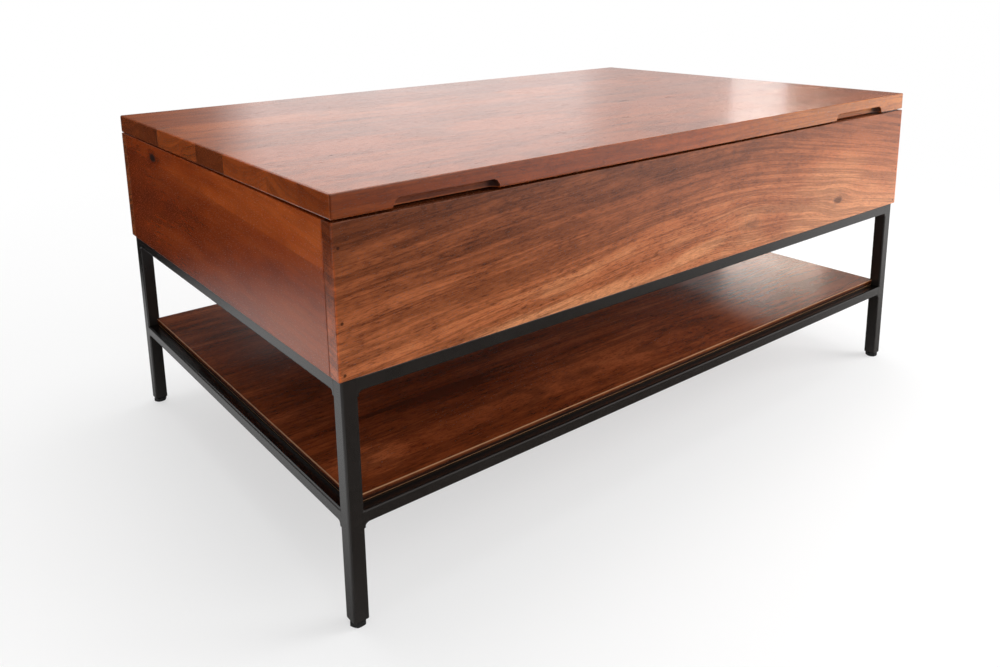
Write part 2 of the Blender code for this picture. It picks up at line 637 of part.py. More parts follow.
def make_spring(side, sx, steel, table):
    path = spring_path()
    print(f"lift_spring_{side} gap to itself: {1000 * self_gap(path, SPRING_WIRE, CURL_POINTS - 2):.2f} mm")
    curve = bpy.data.curves.new("spring", 'CURVE')
    curve.dimensions = '3D'
    curve.bevel_depth = SPRING_WIRE / 2
    curve.bevel_resolution = 1
    curve.use_fill_caps = True
    spline = curve.splines.new('POLY')
    spline.points.add(len(path) - 1)
    spline.points.foreach_set("co", [c for x, y, z in path for c in (sx * x, y, z, 1.0)])
    centre = (sx * (INNER_X - SPRING_DEPTH), SPRING_FRONT.x, SPRING_FRONT.y)
    place(curve, f"lift_spring_{side}", steel, centre, table)


def make_lift(zinc, steel, table, arm_axis, follower_axis, lid_axis):
    for side, sx in SIDES.items():
        make_brackets(side, sx, zinc, table, lid_axis)
        make_arms(side, sx, zinc, arm_axis, follower_axis)
        make_pins(side, sx, steel, table, arm_axis, lid_axis)
        make_spring(side, sx, steel, table)
    make_cross_tube(steel, arm_axis)


def main():
    clear_scene()
    oiled_wood = make_material("oiled_wood", (0.33, 0.115, 0.045), 0.35, 0.0)
    inner_wood = make_material("inner_wood", (0.42, 0.20, 0.10), 0.55, 0.0)
    black_steel = make_material("black_steel", (0.022, 0.021, 0.020), 0.42, 0.0)
    black_plastic = make_material("black_plastic", (0.015, 0.015, 0.015), 0.5, 0.0)
    zinc_steel = make_material("zinc_steel", (0.55, 0.55, 0.53), 0.35, 1.0)
    spring_steel = make_material("spring_steel", (0.35, 0.35, 0.36), 0.3, 1.0)
    rubber = make_material("rubber", (0.02, 0.02, 0.02), 0.8, 0.0)

    table = make_empty("table", (0, 0, 0))
    arm_axis = make_empty("main_arm_axis", (0, *MAIN_LOWER))
    follower_axis = make_empty("follower_axis", (0, *FOLLOWER_LOWER))
    lid_axis = make_empty("lid_axis", (0, *MAIN_UPPER))

    make_frame(black_steel, table)
    make_shelf(oiled_wood, table)
    make_feet(black_plastic, black_steel, table)
    make_box(oiled_wood, inner_wood, rubber, table)
    make_lid(oiled_wood, table, lid_axis)
    make_lift(zinc_steel, spring_steel, table, arm_axis, follower_axis, lid_axis)
    print(f"closed arm angle: {math.degrees(CLOSED_ANGLE):.3f} degrees")


main()
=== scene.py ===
import math
from types import SimpleNamespace

import bmesh
import bpy
import numpy as np
from mathutils import Matrix, Vector


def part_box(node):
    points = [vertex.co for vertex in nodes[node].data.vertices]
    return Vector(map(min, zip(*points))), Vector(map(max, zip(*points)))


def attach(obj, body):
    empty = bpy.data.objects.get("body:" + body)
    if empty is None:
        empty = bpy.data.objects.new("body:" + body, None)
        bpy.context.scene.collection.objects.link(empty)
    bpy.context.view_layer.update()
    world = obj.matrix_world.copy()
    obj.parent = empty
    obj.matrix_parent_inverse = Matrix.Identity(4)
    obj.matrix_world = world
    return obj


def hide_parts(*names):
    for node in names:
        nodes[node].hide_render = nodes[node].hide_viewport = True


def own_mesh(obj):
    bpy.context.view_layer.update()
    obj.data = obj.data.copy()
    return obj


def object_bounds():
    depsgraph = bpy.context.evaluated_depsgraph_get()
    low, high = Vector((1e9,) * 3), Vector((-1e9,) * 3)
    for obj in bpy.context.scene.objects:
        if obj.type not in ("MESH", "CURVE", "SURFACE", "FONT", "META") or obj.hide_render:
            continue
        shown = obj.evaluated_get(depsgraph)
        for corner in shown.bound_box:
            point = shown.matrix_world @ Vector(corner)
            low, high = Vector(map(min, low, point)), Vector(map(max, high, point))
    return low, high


# Looks of the lift-top coffee table: oiled hardwood box and lid on a black steel frame
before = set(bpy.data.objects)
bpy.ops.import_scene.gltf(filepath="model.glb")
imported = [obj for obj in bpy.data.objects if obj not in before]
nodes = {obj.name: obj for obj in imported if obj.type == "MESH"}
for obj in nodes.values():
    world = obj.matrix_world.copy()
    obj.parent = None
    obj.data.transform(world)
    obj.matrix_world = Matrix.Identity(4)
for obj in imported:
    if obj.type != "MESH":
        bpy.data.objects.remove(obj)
cadLow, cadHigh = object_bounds()
print("frame loaded:", len(nodes), "nodes")


# Shader wiring

def join(tree, socket, value):
    # a plain value, or another socket that feeds this one
    if isinstance(value, bpy.types.NodeSocket):
        tree.links.new(value, socket)
    else:
        socket.default_value = value


def put(tree, kind, inputs=None, **settings):
    # one shader node; its settings come first, because some of them change its sockets
    made = tree.nodes.new(kind)
    for key, value in settings.items():
        setattr(made, key, value)
    for key, value in (inputs or {}).items():
        join(tree, made.inputs[key], value)
    return made


def calc(tree, operation, a, b=0.0, c=0.0):
    return put(tree, "ShaderNodeMath", {0: a, 1: b, 2: c}, operation=operation).outputs[0]


def total(tree, first, *rest):
    for term in rest:
        first = calc(tree, "ADD", first, term)
    return first


def product(tree, first, *rest):
    for factor in rest:
        first = calc(tree, "MULTIPLY", first, factor)
    return first


def less(tree, a, b):
    return calc(tree, "SUBTRACT", a, b)


def over(tree, a, b):
    return calc(tree, "DIVIDE", a, b)


def larger(tree, a, b):
    return calc(tree, "MAXIMUM", a, b)


def distance(tree, a, b):
    # root of the sum of two squares
    return calc(tree, "SQRT", total(tree, product(tree, a, a), product(tree, b, b)))


def about(tree, value, gain, middle=0.0):
    # noise taken about its own middle, times a gain, set about a new middle
    return calc(tree, "MULTIPLY_ADD", less(tree, value, 0.5), gain, middle)


def vector(tree, x, y, z):
    return put(tree, "ShaderNodeCombineXYZ", {0: x, 1: y, 2: z}).outputs[0]


def grey(tree, value):
    return vector(tree, value, value, value)


def objectPlace(tree):
    # object coordinates, as one vector and as three numbers
    place = put(tree, "ShaderNodeTexCoord").outputs["Object"]
    return place, put(tree, "ShaderNodeSeparateXYZ", {0: place}).outputs


def noise(tree, place, scale=1.0, detail=2.0, roughness=0.5):
    return put(tree, "ShaderNodeTexNoise", {"Vector": place, "Scale": scale, "Detail": detail,
                                            "Roughness": roughness}).outputs["Fac"]


def ramp(tree, value, low, high, toLow=0.0, toHigh=1.0):
    # smooth step from toLow to toHigh as value goes from low to high
    inputs = {"Value": value, "From Min": low, "From Max": high, "To Min": toLow, "To Max": toHigh}
    return put(tree, "ShaderNodeMapRange", inputs, interpolation_type="SMOOTHSTEP").outputs[0]


def opaque(colour):
    return (*colour, 1.0)


def mixColour(tree, factor, a, b, blend="MIX"):
    return put(tree, "ShaderNodeMix", {"Factor": factor, 6: a, 7: b}, data_type="RGBA",
               blend_type=blend).outputs[2]


def tint(tree, colour, tone, share=1.0):
    # colour times a tone, where the share says
    return mixColour(tree, share, colour, tone, "MULTIPLY")


def colourSteps(tree, value, steps, interpolation="LINEAR"):
    # colour ramp through (position, colour) steps
    made = put(tree, "ShaderNodeValToRGB", {0: value})
    made.color_ramp.interpolation = interpolation
    stops = made.color_ramp.elements
    while len(stops) < len(steps):
        stops.new(1.0)
    for stop, (position, colour) in zip(stops, steps):
        stop.position = position
        stop.color = opaque(colour)
    return made.outputs[0]


def newMaterial(name):
    material = bpy.data.materials.new(name)
    material.use_nodes = True
    tree = material.node_tree
    return material, tree, tree.nodes["Principled BSDF"]


def feed(tree, shader, **sockets):
    # spaces in a socket's name are written as underscores
    for key, value in sockets.items():
        join(tree, shader.inputs[key.replace("_", " ")], value)


def namesFrom(*starts):
    return [name for name in nodes if name.startswith(starts)]


def boxMiddle(name):
    low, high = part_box(name)
    return (low + high) / 2


def dress(material, *names):
    for name in names:
        data = nodes[name].data
        data.materials.clear()
        data.materials.append(material)


# Oiled wood

# what all boards share; a layer of grain is (scale across, scale along, detail, roughness, shift), and bands
# and lines get the numbers that are missing here from the board
grain = dict(shift=7.0, staveShift=3.7, slow=(1.6, 5.0), bands=(1.2, 3.0, 0.55, 0.0), lines=(4.0, 0.6, 11.0),
             mottle=(52.0, 17.0, 4.0, 0.66, 23.0), fibres=(400.0, 60.0, 3.0, 0.65, 5.0),
             dashes=(580.0, 88.0, 3.0, 0.6, 9.0), pores=(1000.0, 230.0, 2.0, 0.5, 17.0),
             growthEdge=(0.86, 0.99), dashEdge=(0.52, 0.35), dashMottle=(0.64, 0.36), dashThin=0.45,
             dashTone=(0.27, 0.22, 0.20), poreEdge=(0.42, 0.32))
marks = dict(knotStretch=2.2, knotReach=6.0, knotSwell=0.55, knotEdge=(1.12, 0.55), patchEdge=(1.0, 0.2),
             nailCore=0.6, nailStrength=0.8)
rims = dict(ends=(0.0040, 0.0004), front=(0.0012, 0.0003), fade=0.04, hollowFront=(0.0006, 0.0030),
            hollowBack=(0.016, 0.014), hollowLow=(0.0002, 0.002), hollowTop=(0.004, 0.008))
finish = dict(wearScale=60.0, handledScale=9.0, cloudDetail=3.0, handled=0.10, pores=0.10, wearAndHighlight=0.30,
              knots=0.30, hollow=0.40, fibreHeight=0.35, poreDepth=0.12, bumpDepth=0.0002)


def addStaves(board):
    # glued staves: each has a number, and from it three chance values and a start along the grain
    tree, wood = board.tree, board.wood
    board.stave = 0.0
    if wood["joints"]:
        level = less(tree, board.across, product(tree, board.along, wood["lean"]))
        board.stave = total(tree, *[calc(tree, "GREATER_THAN", level, joint) for joint in wood["joints"]])
        board.index = over(tree, total(tree, board.stave, 0.5), len(wood["joints"]) + 1)
    seed = put(tree, "ShaderNodeTexWhiteNoise", {"W": total(tree, board.stave, wood["seed"])},
               noise_dimensions="1D").outputs["Color"]
    board.chance = put(tree, "ShaderNodeSeparateXYZ", {0: seed}).outputs
    board.start = product(tree, board.chance[0], grain["shift"])


def perStave(board, values):
    # one flat colour for each stave
    steps = [(k / len(values), value) for k, value in enumerate(values)]
    return colourSteps(board.tree, board.index, steps, "CONSTANT")


def addFlow(board):
    # Flow line across the grain: it bows with the square of the distance from the figure's crest, an arched
    # figure adds a tilted hyperbola over the crest, slow noise makes it wander, and it swells round a knot.
    tree, wood = board.tree, board.wood
    away = less(tree, board.along, about(tree, board.chance[1], wood["spread"], wood["crest"]))
    square = product(tree, away, away)
    bow = product(tree, square, wood["bow"])
    if wood["arch"]:
        rise, tilt, width = wood["arch"]
        arm = less(tree, calc(tree, "SQRT", total(tree, square, width * width)), width)
        bow = total(tree, bow, product(tree, arm, rise), product(tree, away, tilt))
    slowAlong, slowAcross = grain["slow"]
    slowPlace = vector(tree, total(tree, product(tree, board.along, slowAlong), board.start),
                       product(tree, board.across, slowAcross), product(tree, board.depth, slowAcross))
    board.wander = about(tree, noise(tree, slowPlace), wood["wander"])
    board.flow = total(tree, board.across, bow, board.wander)
    board.knots = 0.0
    for where, level, size, strength in wood["knots"]:
        da = over(tree, less(tree, board.along, where), size * marks["knotStretch"])
        dc = over(tree, less(tree, board.across, level), size)
        near = distance(tree, da, dc)
        swell = product(tree, dc, size * marks["knotSwell"])
        board.flow = less(tree, board.flow, product(tree, ramp(tree, near, marks["knotReach"], 0.0), swell))
        board.knots = larger(tree, board.knots, ramp(tree, near, *marks["knotEdge"], 0.0, strength))


def addRings(board):
    # distance from the pith, which every glued stave has somewhere else
    tree, wood = board.tree, board.wood
    ringAcross = less(tree, board.flow, wood["pith"][0])
    ringDepth = less(tree, board.depth, wood["pith"][1])
    if wood["joints"]:
        sides = [board.low[1], *wood["joints"], board.high[1]]
        span = sides[-1] - sides[0]
        middles = [((a + b) / 2 - sides[0]) / span for a, b in zip(sides, sides[1:])]
        middle = perStave(board, [(m, m, m) for m in middles])
        middle = calc(tree, "MULTIPLY_ADD", middle, span, sides[0])
        aside = about(tree, board.chance[1], wood["pithSpread"])
        ringAcross = total(tree, less(tree, board.flow, middle), aside)
        ringDepth = less(tree, ringDepth, product(tree, board.chance[2], wood["pithSpread"]))
    board.ring = distance(tree, ringAcross, ringDepth)


def drawn(board, source, layer):
    # noise that is long along the grain and short across it
    tree = board.tree
    acrossScale, alongScale, detail, roughness, shift = layer
    if source is board.flow:
        third = product(tree, board.depth, acrossScale)
    else:
        third = product(tree, board.stave, grain["staveShift"])
    place = vector(tree, total(tree, product(tree, board.along, alongScale), board.start, shift),
                   product(tree, source, acrossScale), third)
    return noise(tree, place, 1.0, detail, roughness)


def addGrain(board):
    # bands and growth lines follow the rings; mottle, fibres, dashes and pores follow the flow
    tree, wood = board.tree, board.wood
    board.bands = drawn(board, board.ring, (wood["bandScale"], *grain["bands"]))
    board.lines = drawn(board, board.ring, (wood["lineScale"], wood["lineRun"], *grain["lines"]))
    slope = calc(tree, "ABSOLUTE", calc(tree, "MULTIPLY_ADD", board.lines, 2.0, -1.0))
    board.growth = ramp(tree, less(tree, 1.0, slope), *grain["growthEdge"])
    board.mottle = drawn(board, board.flow, grain["mottle"])
    board.fibres = drawn(board, board.flow, grain["fibres"])
    dashes = ramp(tree, drawn(board, board.flow, grain["dashes"]), *grain["dashEdge"])
    thick = ramp(tree, board.mottle, *grain["dashMottle"], grain["dashThin"], 1.0)    # more where it is dark
    board.dashes = product(tree, dashes, thick)
    board.pores = ramp(tree, drawn(board, board.flow, grain["pores"]), *grain["poreEdge"])


def figureColour(board):
    # tone by shares of bands, lines and mottle; it drifts over the board, and a patch is a soft ellipse
    tree, wood = board.tree, board.wood
    layers = zip((board.bands, board.lines, board.mottle), wood["shares"])
    shade = total(tree, *[product(tree, layer, share) for layer, share in layers])
    if wood["calm"]:                                    # the figure loses contrast along the board
        calmStart, calmEnd, kept = wood["calm"]
        contrast = ramp(tree, board.along, calmStart, calmEnd, 1.0, kept)
        shade = about(tree, shade, contrast, 0.5)
        board.dashes = product(tree, board.dashes, contrast)
    alongSlope, acrossSlope, acrossMiddle = wood["drift"]
    shade = total(tree, shade, product(tree, board.along, alongSlope),
                  product(tree, less(tree, board.across, acrossMiddle), acrossSlope))
    for where, level, length, height, tilt, gain in wood["patches"]:
        da = less(tree, board.along, where)
        dc = less(tree, less(tree, board.across, level), product(tree, da, tilt))
        dc = total(tree, dc, board.wander)
        near = distance(tree, over(tree, da, length), over(tree, dc, height))
        shade = total(tree, shade, ramp(tree, near, *marks["patchEdge"], 0.0, gain))
    colour = colourSteps(tree, shade, wood["colours"])
    if wood["joints"]:
        colour = tint(tree, colour, perStave(board, wood["tones"]))
    return tint(tree, colour, opaque(grain["dashTone"]), product(tree, board.dashes, wood["dash"]))


def edgeColour(board, colour):
    # end grain, the front edge and the finger notches' inner walls
    tree, wood = board.tree, board.wood
    fromStart = less(tree, board.along, board.low[0])
    ends = ramp(tree, calc(tree, "MINIMUM", fromStart, less(tree, board.high[0], board.along)), *rims["ends"])
    colour = tint(tree, colour, opaque(wood["endTone"]), ends)
    if wood["endTones"]:                                # staves differ more on their ends than on their faces
        colour = tint(tree, colour, perStave(board, [(t, t, t) for t in wood["endTones"]]), ends)
    fromFront = less(tree, board.across, board.low[1])
    fromBelow = less(tree, board.depth, board.low[2])
    board.hollow = 0.0
    if wood["hollow"]:                                  # mask of the notches' walls
        fromTop = less(tree, board.high[2], board.depth)
        board.hollow = product(tree, ramp(tree, fromFront, *rims["hollowFront"]),
                               ramp(tree, fromFront, *rims["hollowBack"]),
                               ramp(tree, fromBelow, *rims["hollowLow"]),
                               ramp(tree, fromTop, *rims["hollowTop"]), less(tree, 1.0, ends))
    # on the lid the front edge is darker at the left, and paler and greyer to the right, where it paints a
    # sheen
    if wood["rim"]:                                     # front edge, with its own tone from left to right
        rim = ramp(tree, fromFront, *rims["front"])
        last = len(wood["rim"]) - 1
        rimTones = colourSteps(tree, over(tree, fromStart, board.high[0] - board.low[0]),
                               [(k / last, tone) for k, tone in enumerate(wood["rim"])])
        colour = tint(tree, colour, rimTones, larger(tree, rim, board.hollow))
        if wood["rimFade"]:                             # painted shade: all edges darker towards the lower arris
            fade = ramp(tree, fromBelow, *wood["rimFade"], rims["fade"], 1.0)
            colour = tint(tree, colour, grey(tree, fade), larger(tree, rim, ends))
    if wood["hollow"]:                                  # in the notches' raw wood, a paler stretch is painted light and the dark end where the cut ends is painted shade
        length = wood["notchLength"]
        first = board.low[0] + wood["notchStart"]
        second = board.high[0] - wood["notchStart"] - length
        atSecond = calc(tree, "GREATER_THAN", board.along, 0.0)
        cutStart = calc(tree, "MULTIPLY_ADD", atSecond, second - first, first)
        cut = over(tree, less(tree, board.along, cutStart), length)
        colour = tint(tree, colour, colourSteps(tree, cut, wood["hollow"]), board.hollow)
    return colour


def fineColour(board, colour):
    # growth lines, fibres, pores, knots, nail marks, and arrises rubbed bare; on the shelf the pale arris
    # line is a painted highlight
    tree, wood = board.tree, board.wood
    dark, knotColour = opaque(wood["dark"]), opaque(wood["knotColour"])
    colour = mixColour(tree, product(tree, board.growth, wood["growth"]), colour, dark)
    colour = tint(tree, colour, grey(tree, about(tree, board.fibres, wood["fibre"], 1.0)))
    colour = mixColour(tree, product(tree, board.pores, wood["pore"]), colour, dark)
    if wood["knots"]:
        colour = mixColour(tree, board.knots, colour, knotColour)
    for where, level, size in wood["nails"]:
        near = distance(tree, less(tree, board.along, where), less(tree, board.across, level))
        mark = ramp(tree, near, size, size * marks["nailCore"], 0.0, marks["nailStrength"])
        colour = mixColour(tree, mark, colour, knotColour)
    arrisPatches = ramp(tree, noise(tree, board.place, finish["wearScale"], finish["cloudDetail"]), *wood["patchy"])
    board.wearAndHighlight = product(tree, ramp(tree, arrisDistance(board), wood["arris"], 0.0), arrisPatches)
    return mixColour(tree, product(tree, board.wearAndHighlight, wood["wearAndHighlight"]), colour, opaque(wood["bareAndHighlight"]))


def arrisDistance(board):
    # distance to the nearest arris: the second smallest of the distances to the board's faces
    tree = board.tree
    gaps = []
    for axis, near, far in zip((board.along, board.across, board.depth), board.low, board.high):
        gaps.append(calc(tree, "MINIMUM", less(tree, axis, near), less(tree, far, axis)))
    lesser = calc(tree, "MINIMUM", gaps[0], gaps[1])
    greater = larger(tree, gaps[0], gaps[1])
    return larger(tree, lesser, calc(tree, "MINIMUM", greater, gaps[2]))


def woodMaterial(name, wood, low, high):
    # Solid wood in the table's own coordinates. The grain runs along the first of the wood's axes, and every
    # part of the figure is noise on the flow across it or on the rings, drawn out along the grain.
    material, tree, shader = newMaterial(name)
    place, split = objectPlace(tree)
    order = ["XYZ".index(letter) for letter in wood["axes"]]
    along, across, depth = (split[k] for k in order)
    board = SimpleNamespace(tree=tree, wood=wood, place=place, along=along, across=across, depth=depth,
                            low=[low[k] for k in order], high=[high[k] for k in order])
    addStaves(board)
    addFlow(board)
    addRings(board)
    addGrain(board)
    colour = fineColour(board, edgeColour(board, figureColour(board)))

    handled = noise(tree, place, finish["handledScale"], finish["cloudDetail"])
    rough = total(tree, about(tree, handled, finish["handled"], wood["gloss"]),
                  product(tree, board.pores, finish["pores"]), product(tree, board.wearAndHighlight, finish["wearAndHighlight"]),
                  product(tree, board.knots, finish["knots"]), product(tree, board.dashes, wood["dull"]),
                  product(tree, board.hollow, finish["hollow"]))
    height = less(tree, product(tree, board.fibres, finish["fibreHeight"]),
                  product(tree, board.pores, finish["poreDepth"]))
    bump = put(tree, "ShaderNodeBump", {"Strength": wood["relief"], "Distance": finish["bumpDepth"],
                                        "Height": height}).outputs[0]
    feed(tree, shader, Base_Color=colour, Roughness=rough, Normal=bump, Specular_IOR_Level=wood["shine"],
         Coat_Weight=wood["coat"], Coat_Roughness=wood["gloss"], Coat_Normal=bump)
    return material


# Boards of the table

# a knot is (along, across, size, strength), a patch (along, across, half length, half height, tilt, gain),
# a nail mark (along, across, size), an arch (rise, tilt, width), and calm (start, end, contrast kept)

warmTones = [(0.26, (0.14, 0.036, 0.011)), (0.42, (0.28, 0.077, 0.025)), (0.56, (0.43, 0.128, 0.044)),
             (0.74, (0.575, 0.224, 0.093))]
lidTones = [(0.24, (0.26, 0.056, 0.011)), (0.42, (0.415, 0.094, 0.019)), (0.56, (0.49, 0.123, 0.026)),
            (0.76, (0.59, 0.172, 0.040))]
redTones = [(0.22, (0.17, 0.022, 0.002)), (0.44, (0.28, 0.041, 0.004)), (0.58, (0.36, 0.060, 0.008)),
            (0.78, (0.45, 0.090, 0.016))]
shelfTones = [(0.22, (0.095, 0.017, 0.004)), (0.42, (0.22, 0.047, 0.012)), (0.58, (0.36, 0.088, 0.027)),
              (0.78, (0.48, 0.140, 0.048))]
innerTones = [(0.22, (0.24, 0.10, 0.045)), (0.44, (0.34, 0.16, 0.075)), (0.58, (0.40, 0.20, 0.10)),
              (0.78, (0.48, 0.27, 0.15))]

plainWood = dict(seed=1.0, spread=0.0, crest=0.0, bow=0.0, arch=None, wander=0.03, pith=(0.0, 0.0),
                 pithSpread=0.10, bandScale=26.0, lineScale=120.0, lineRun=4.0, shares=(0.58, 0.10, 0.32),
                 drift=(0.0, 0.0, 0.0), calm=None, growth=0.30, fibre=0.50, dash=0.80, pore=0.55,
                 joints=(), lean=0.0, knots=(), patches=(), nails=(), endTone=(0.80, 0.66, 0.50), endTones=(),
                 rim=(), rimFade=None, hollow=(), dark=(0.045, 0.010, 0.003), bareAndHighlight=(0.44, 0.145, 0.048),
                 knotColour=(0.022, 0.006, 0.003), arris=0.0016, patchy=(0.30, 0.65), wearAndHighlight=0.30, gloss=0.20,
                 dull=0.06, relief=0.10, shine=0.5, coat=0.0)

lidWood = dict(plainWood, axes="XYZ", seed=3.0, spread=1.2, bow=0.02, pith=(0.0, 0.56), colours=lidTones,
               dash=0.45, gloss=0.18, coat=0.5, dull=0.12, relief=0.04,
               joints=[-0.2822, -0.2054, -0.0809, 0.0121, 0.0611, 0.1691, 0.2527],
               tones=[(0.92, 0.88, 0.84), (0.98, 0.96, 0.92), (1.06, 1.05, 1.0), (0.86, 0.83, 0.8),
                      (0.96, 0.94, 0.92), (1.08, 1.07, 1.04), (0.90, 0.86, 0.82), (0.95, 0.92, 0.88)],
               endTones=[1.0, 1.15, 1.2, 0.75, 1.1, 1.2, 0.8, 0.85],
               # front edge darker at the left, and paler and greyer towards the right as a painted sheen
               rim=[(0.43, 0.37, 0.34), (0.54, 0.43, 0.38), (0.66, 0.54, 0.46), (0.92, 1.16, 1.28),
                    (1.10, 1.52, 1.70)],
               notchStart=0.071, notchLength=0.138,     # from each end of the lid, and along it
               # notch walls along their length: the paler, greyer stretch is painted light, the dark end
               # painted shade
               hollow=[(0.0, (1.0, 1.0, 1.0)), (0.60, (1.05, 1.05, 1.05)), (0.76, (1.25, 1.45, 1.55)),
                       (0.90, (1.15, 1.30, 1.35)), (0.96, (0.22, 0.18, 0.15))],
               patches=[(0.135, -0.085, 0.040, 0.0045, -0.03, -0.6),
                        (0.225, -0.110, 0.050, 0.0050, -0.05, -0.6),
                        (-0.05, -0.250, 0.035, 0.0040, 0.0, -0.5), (-0.30, 0.05, 0.06, 0.004, 0.0, -0.4)],
               knots=[(-0.4566, -0.1774, 0.0016, 0.8), (0.2382, 0.031, 0.002, 0.8),
                      (0.3298, -0.0006, 0.002, 0.8), (-0.5404, 0.1698, 0.006, 0.55),
                      (0.1368, -0.082, 0.005, 0.4), (0.2263, -0.1034, 0.005, 0.4),
                      (0.0059, -0.2111, 0.004, 0.4)])
frontWood = dict(plainWood, axes="XZY", seed=8.0, crest=0.12, arch=(0.155, 0.05, 0.13), pith=(0.25, -0.30),
                 colours=warmTones, drift=(0.24, -2.2, 0.375), lineScale=85.0, lineRun=1.8, growth=0.40,
                 dash=0.72, shares=(0.36, 0.24, 0.40), wearAndHighlight=0.10, calm=(0.05, 0.42, 0.50), fibre=0.80,
                 endTone=(1.45, 1.10, 0.80),
                 knots=[(0.3611, 0.3260, 0.007, 0.6), (0.1313, 0.3302, 0.009, 0.25)],
                 patches=[(0.01, 0.310, 0.09, 0.014, 0.10, 0.20), (-0.24, 0.292, 0.24, 0.016, 0.02, 0.19),
                          (0.34, 0.37, 0.13, 0.06, 0.0, 0.10), (0.53, 0.37, 0.10, 0.12, 0.0, -0.07),
                          (-0.26, 0.325, 0.14, 0.022, 0.05, 0.10), (0.19, 0.315, 0.09, 0.035, -0.1, -0.10)],
                 nails=[(along, level, 0.0022) for along in (-0.543, 0.543)
                        for level in (0.4297, 0.3516, 0.2964)])
rearWood = dict(frontWood, seed=12.0, crest=-0.15, bow=0.05, arch=None, pith=(0.26, 0.31),
                drift=(0.0, 0.0, 0.0), calm=None, endTone=(0.80, 0.66, 0.50), knots=(), patches=())
leftWood = dict(plainWood, axes="YZX", seed=21.0, crest=0.05, bow=0.10, pith=(0.24, -0.60), colours=redTones,
                joints=[0.4217], lean=0.0538, tones=[(0.90, 0.87, 0.85), (1.20, 1.24, 1.2)],
                # the drift along the panel, paler near the front and darker at the far end, and the last
                # patch, paler at the low near corner, are painted light from the front; the right panel keeps
                # the same drift
                drift=(-0.38, 0.4, 0.72), shares=(0.75, 0.10, 0.45), growth=0.15, dash=0.18, pore=0.18,
                fibre=0.2, knots=[(0.2004, 0.439, 0.0066, 1.0)],
                patches=[(0.2004, 0.437, 0.040, 0.020, 0.0, -0.22), (-0.28, 0.315, 0.16, 0.07, 0.0, 0.18)])
rightWood = dict(leftWood, seed=27.0, pith=(0.24, 0.60), knots=(), patches=())
shelfWood = dict(plainWood, axes="XYZ", seed=33.0, spread=0.8, bow=0.03, pith=(0.0, 0.05), colours=shelfTones,
                 joints=[-0.19, 0.02, 0.17],
                 tones=[(1.0, 1.0, 1.0), (0.9, 0.88, 0.86), (1.1, 1.08, 1.05), (0.95, 0.95, 0.95)],
                 # the drift along the shelf pales its right end: painted light where light reaches in under
                 # the box
                 bandScale=34.0, growth=0.45, drift=(0.12, 0.25, 0.5), shares=(0.75, 0.10, 0.40),
                 # a continuous pale line along every arris of the shelf is a painted highlight
                 calm=(0.05, 0.34, 0.35), relief=0.05, dull=0.02, gloss=0.16, bareAndHighlight=(0.46, 0.24, 0.115),
                 # the shelf's edges darken towards their lower arris as painted shade
                 wearAndHighlight=1.0, patchy=(0.05, 0.40), rimFade=(0.0025, 0.0085),
                 rim=[(0.92, 1.05, 1.0), (0.95, 1.08, 1.0), (1.10, 1.30, 1.20), (0.95, 1.10, 1.0),
                      (0.58, 0.58, 0.48)],
                 # the patch centred 0.40 along paints the pool of light on the shelf's right end
                 patches=[(-0.32, -0.19, 0.13, 0.035, -0.1, -0.20), (-0.47, -0.27, 0.06, 0.05, 0.0, 0.14),
                          (0.40, 0.0, 0.20, 0.22, 0.0, 0.30), (-0.02, -0.15, 0.26, 0.14, 0.0, 0.10),
                          (-0.12, -0.27, 0.24, 0.08, 0.0, 0.17)])
innerWood = dict(plainWood, axes="XYZ", seed=41.0, pith=(-0.2, 0.1), colours=innerTones, gloss=0.5, pore=0.3,
                 growth=0.2, dash=0.3, wearAndHighlight=0.0, endTone=(0.85, 0.8, 0.72))
bottomWood = dict(innerWood, colours=shelfTones)
blockWood = dict(innerWood, axes="ZXY", seed=47.0)

boards = dict(lid_top=lidWood, front_panel=frontWood, rear_panel=rearWood, left_panel=leftWood,
              right_panel=rightWood, shelf_panel=shelfWood, bottom_panel=bottomWood)
boards.update((name, blockWood) for name in namesFrom("corner_block"))
for node, wood in boards.items():
    dress(woodMaterial(node + "_wood", wood, *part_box(node)), node)
print("wood dressed")


# Metals, plastic and rubber

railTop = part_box("lower_rail_front")[1].z
frameCoat = dict(deep=(0.0140, 0.0118, 0.0104), pale=(0.0250, 0.0210, 0.0186), patch=14.0, peel=1400.0,
                 bump=0.25, bumpDepth=0.0002, gloss=0.20, glossSpread=0.12, metal=0.0, paintedTopShade=None)
# the lower rails' top faces are painted dark: shade under the shelf
lowerCoat = dict(frameCoat, paintedTopShade=(railTop - 0.0009, railTop - 0.0001, 1.0, 0.15))
plasticCoat = dict(frameCoat, deep=(0.010, 0.010, 0.010), pale=(0.018, 0.018, 0.018), peel=2200.0, gloss=0.5)
rubberCoat = dict(plasticCoat, deep=(0.016, 0.016, 0.016), pale=(0.026, 0.026, 0.026), gloss=0.75)
zincCoat = dict(frameCoat, deep=(0.50, 0.50, 0.48), pale=(0.66, 0.66, 0.64), patch=90.0, peel=700.0,
                bump=0.15, gloss=0.34, metal=1.0)
pinCoat = dict(zincCoat, deep=(0.44, 0.44, 0.43), pale=(0.56, 0.56, 0.55), gloss=0.26)
springCoat = dict(zincCoat, deep=(0.20, 0.20, 0.21), pale=(0.32, 0.32, 0.33), patch=160.0, gloss=0.30)


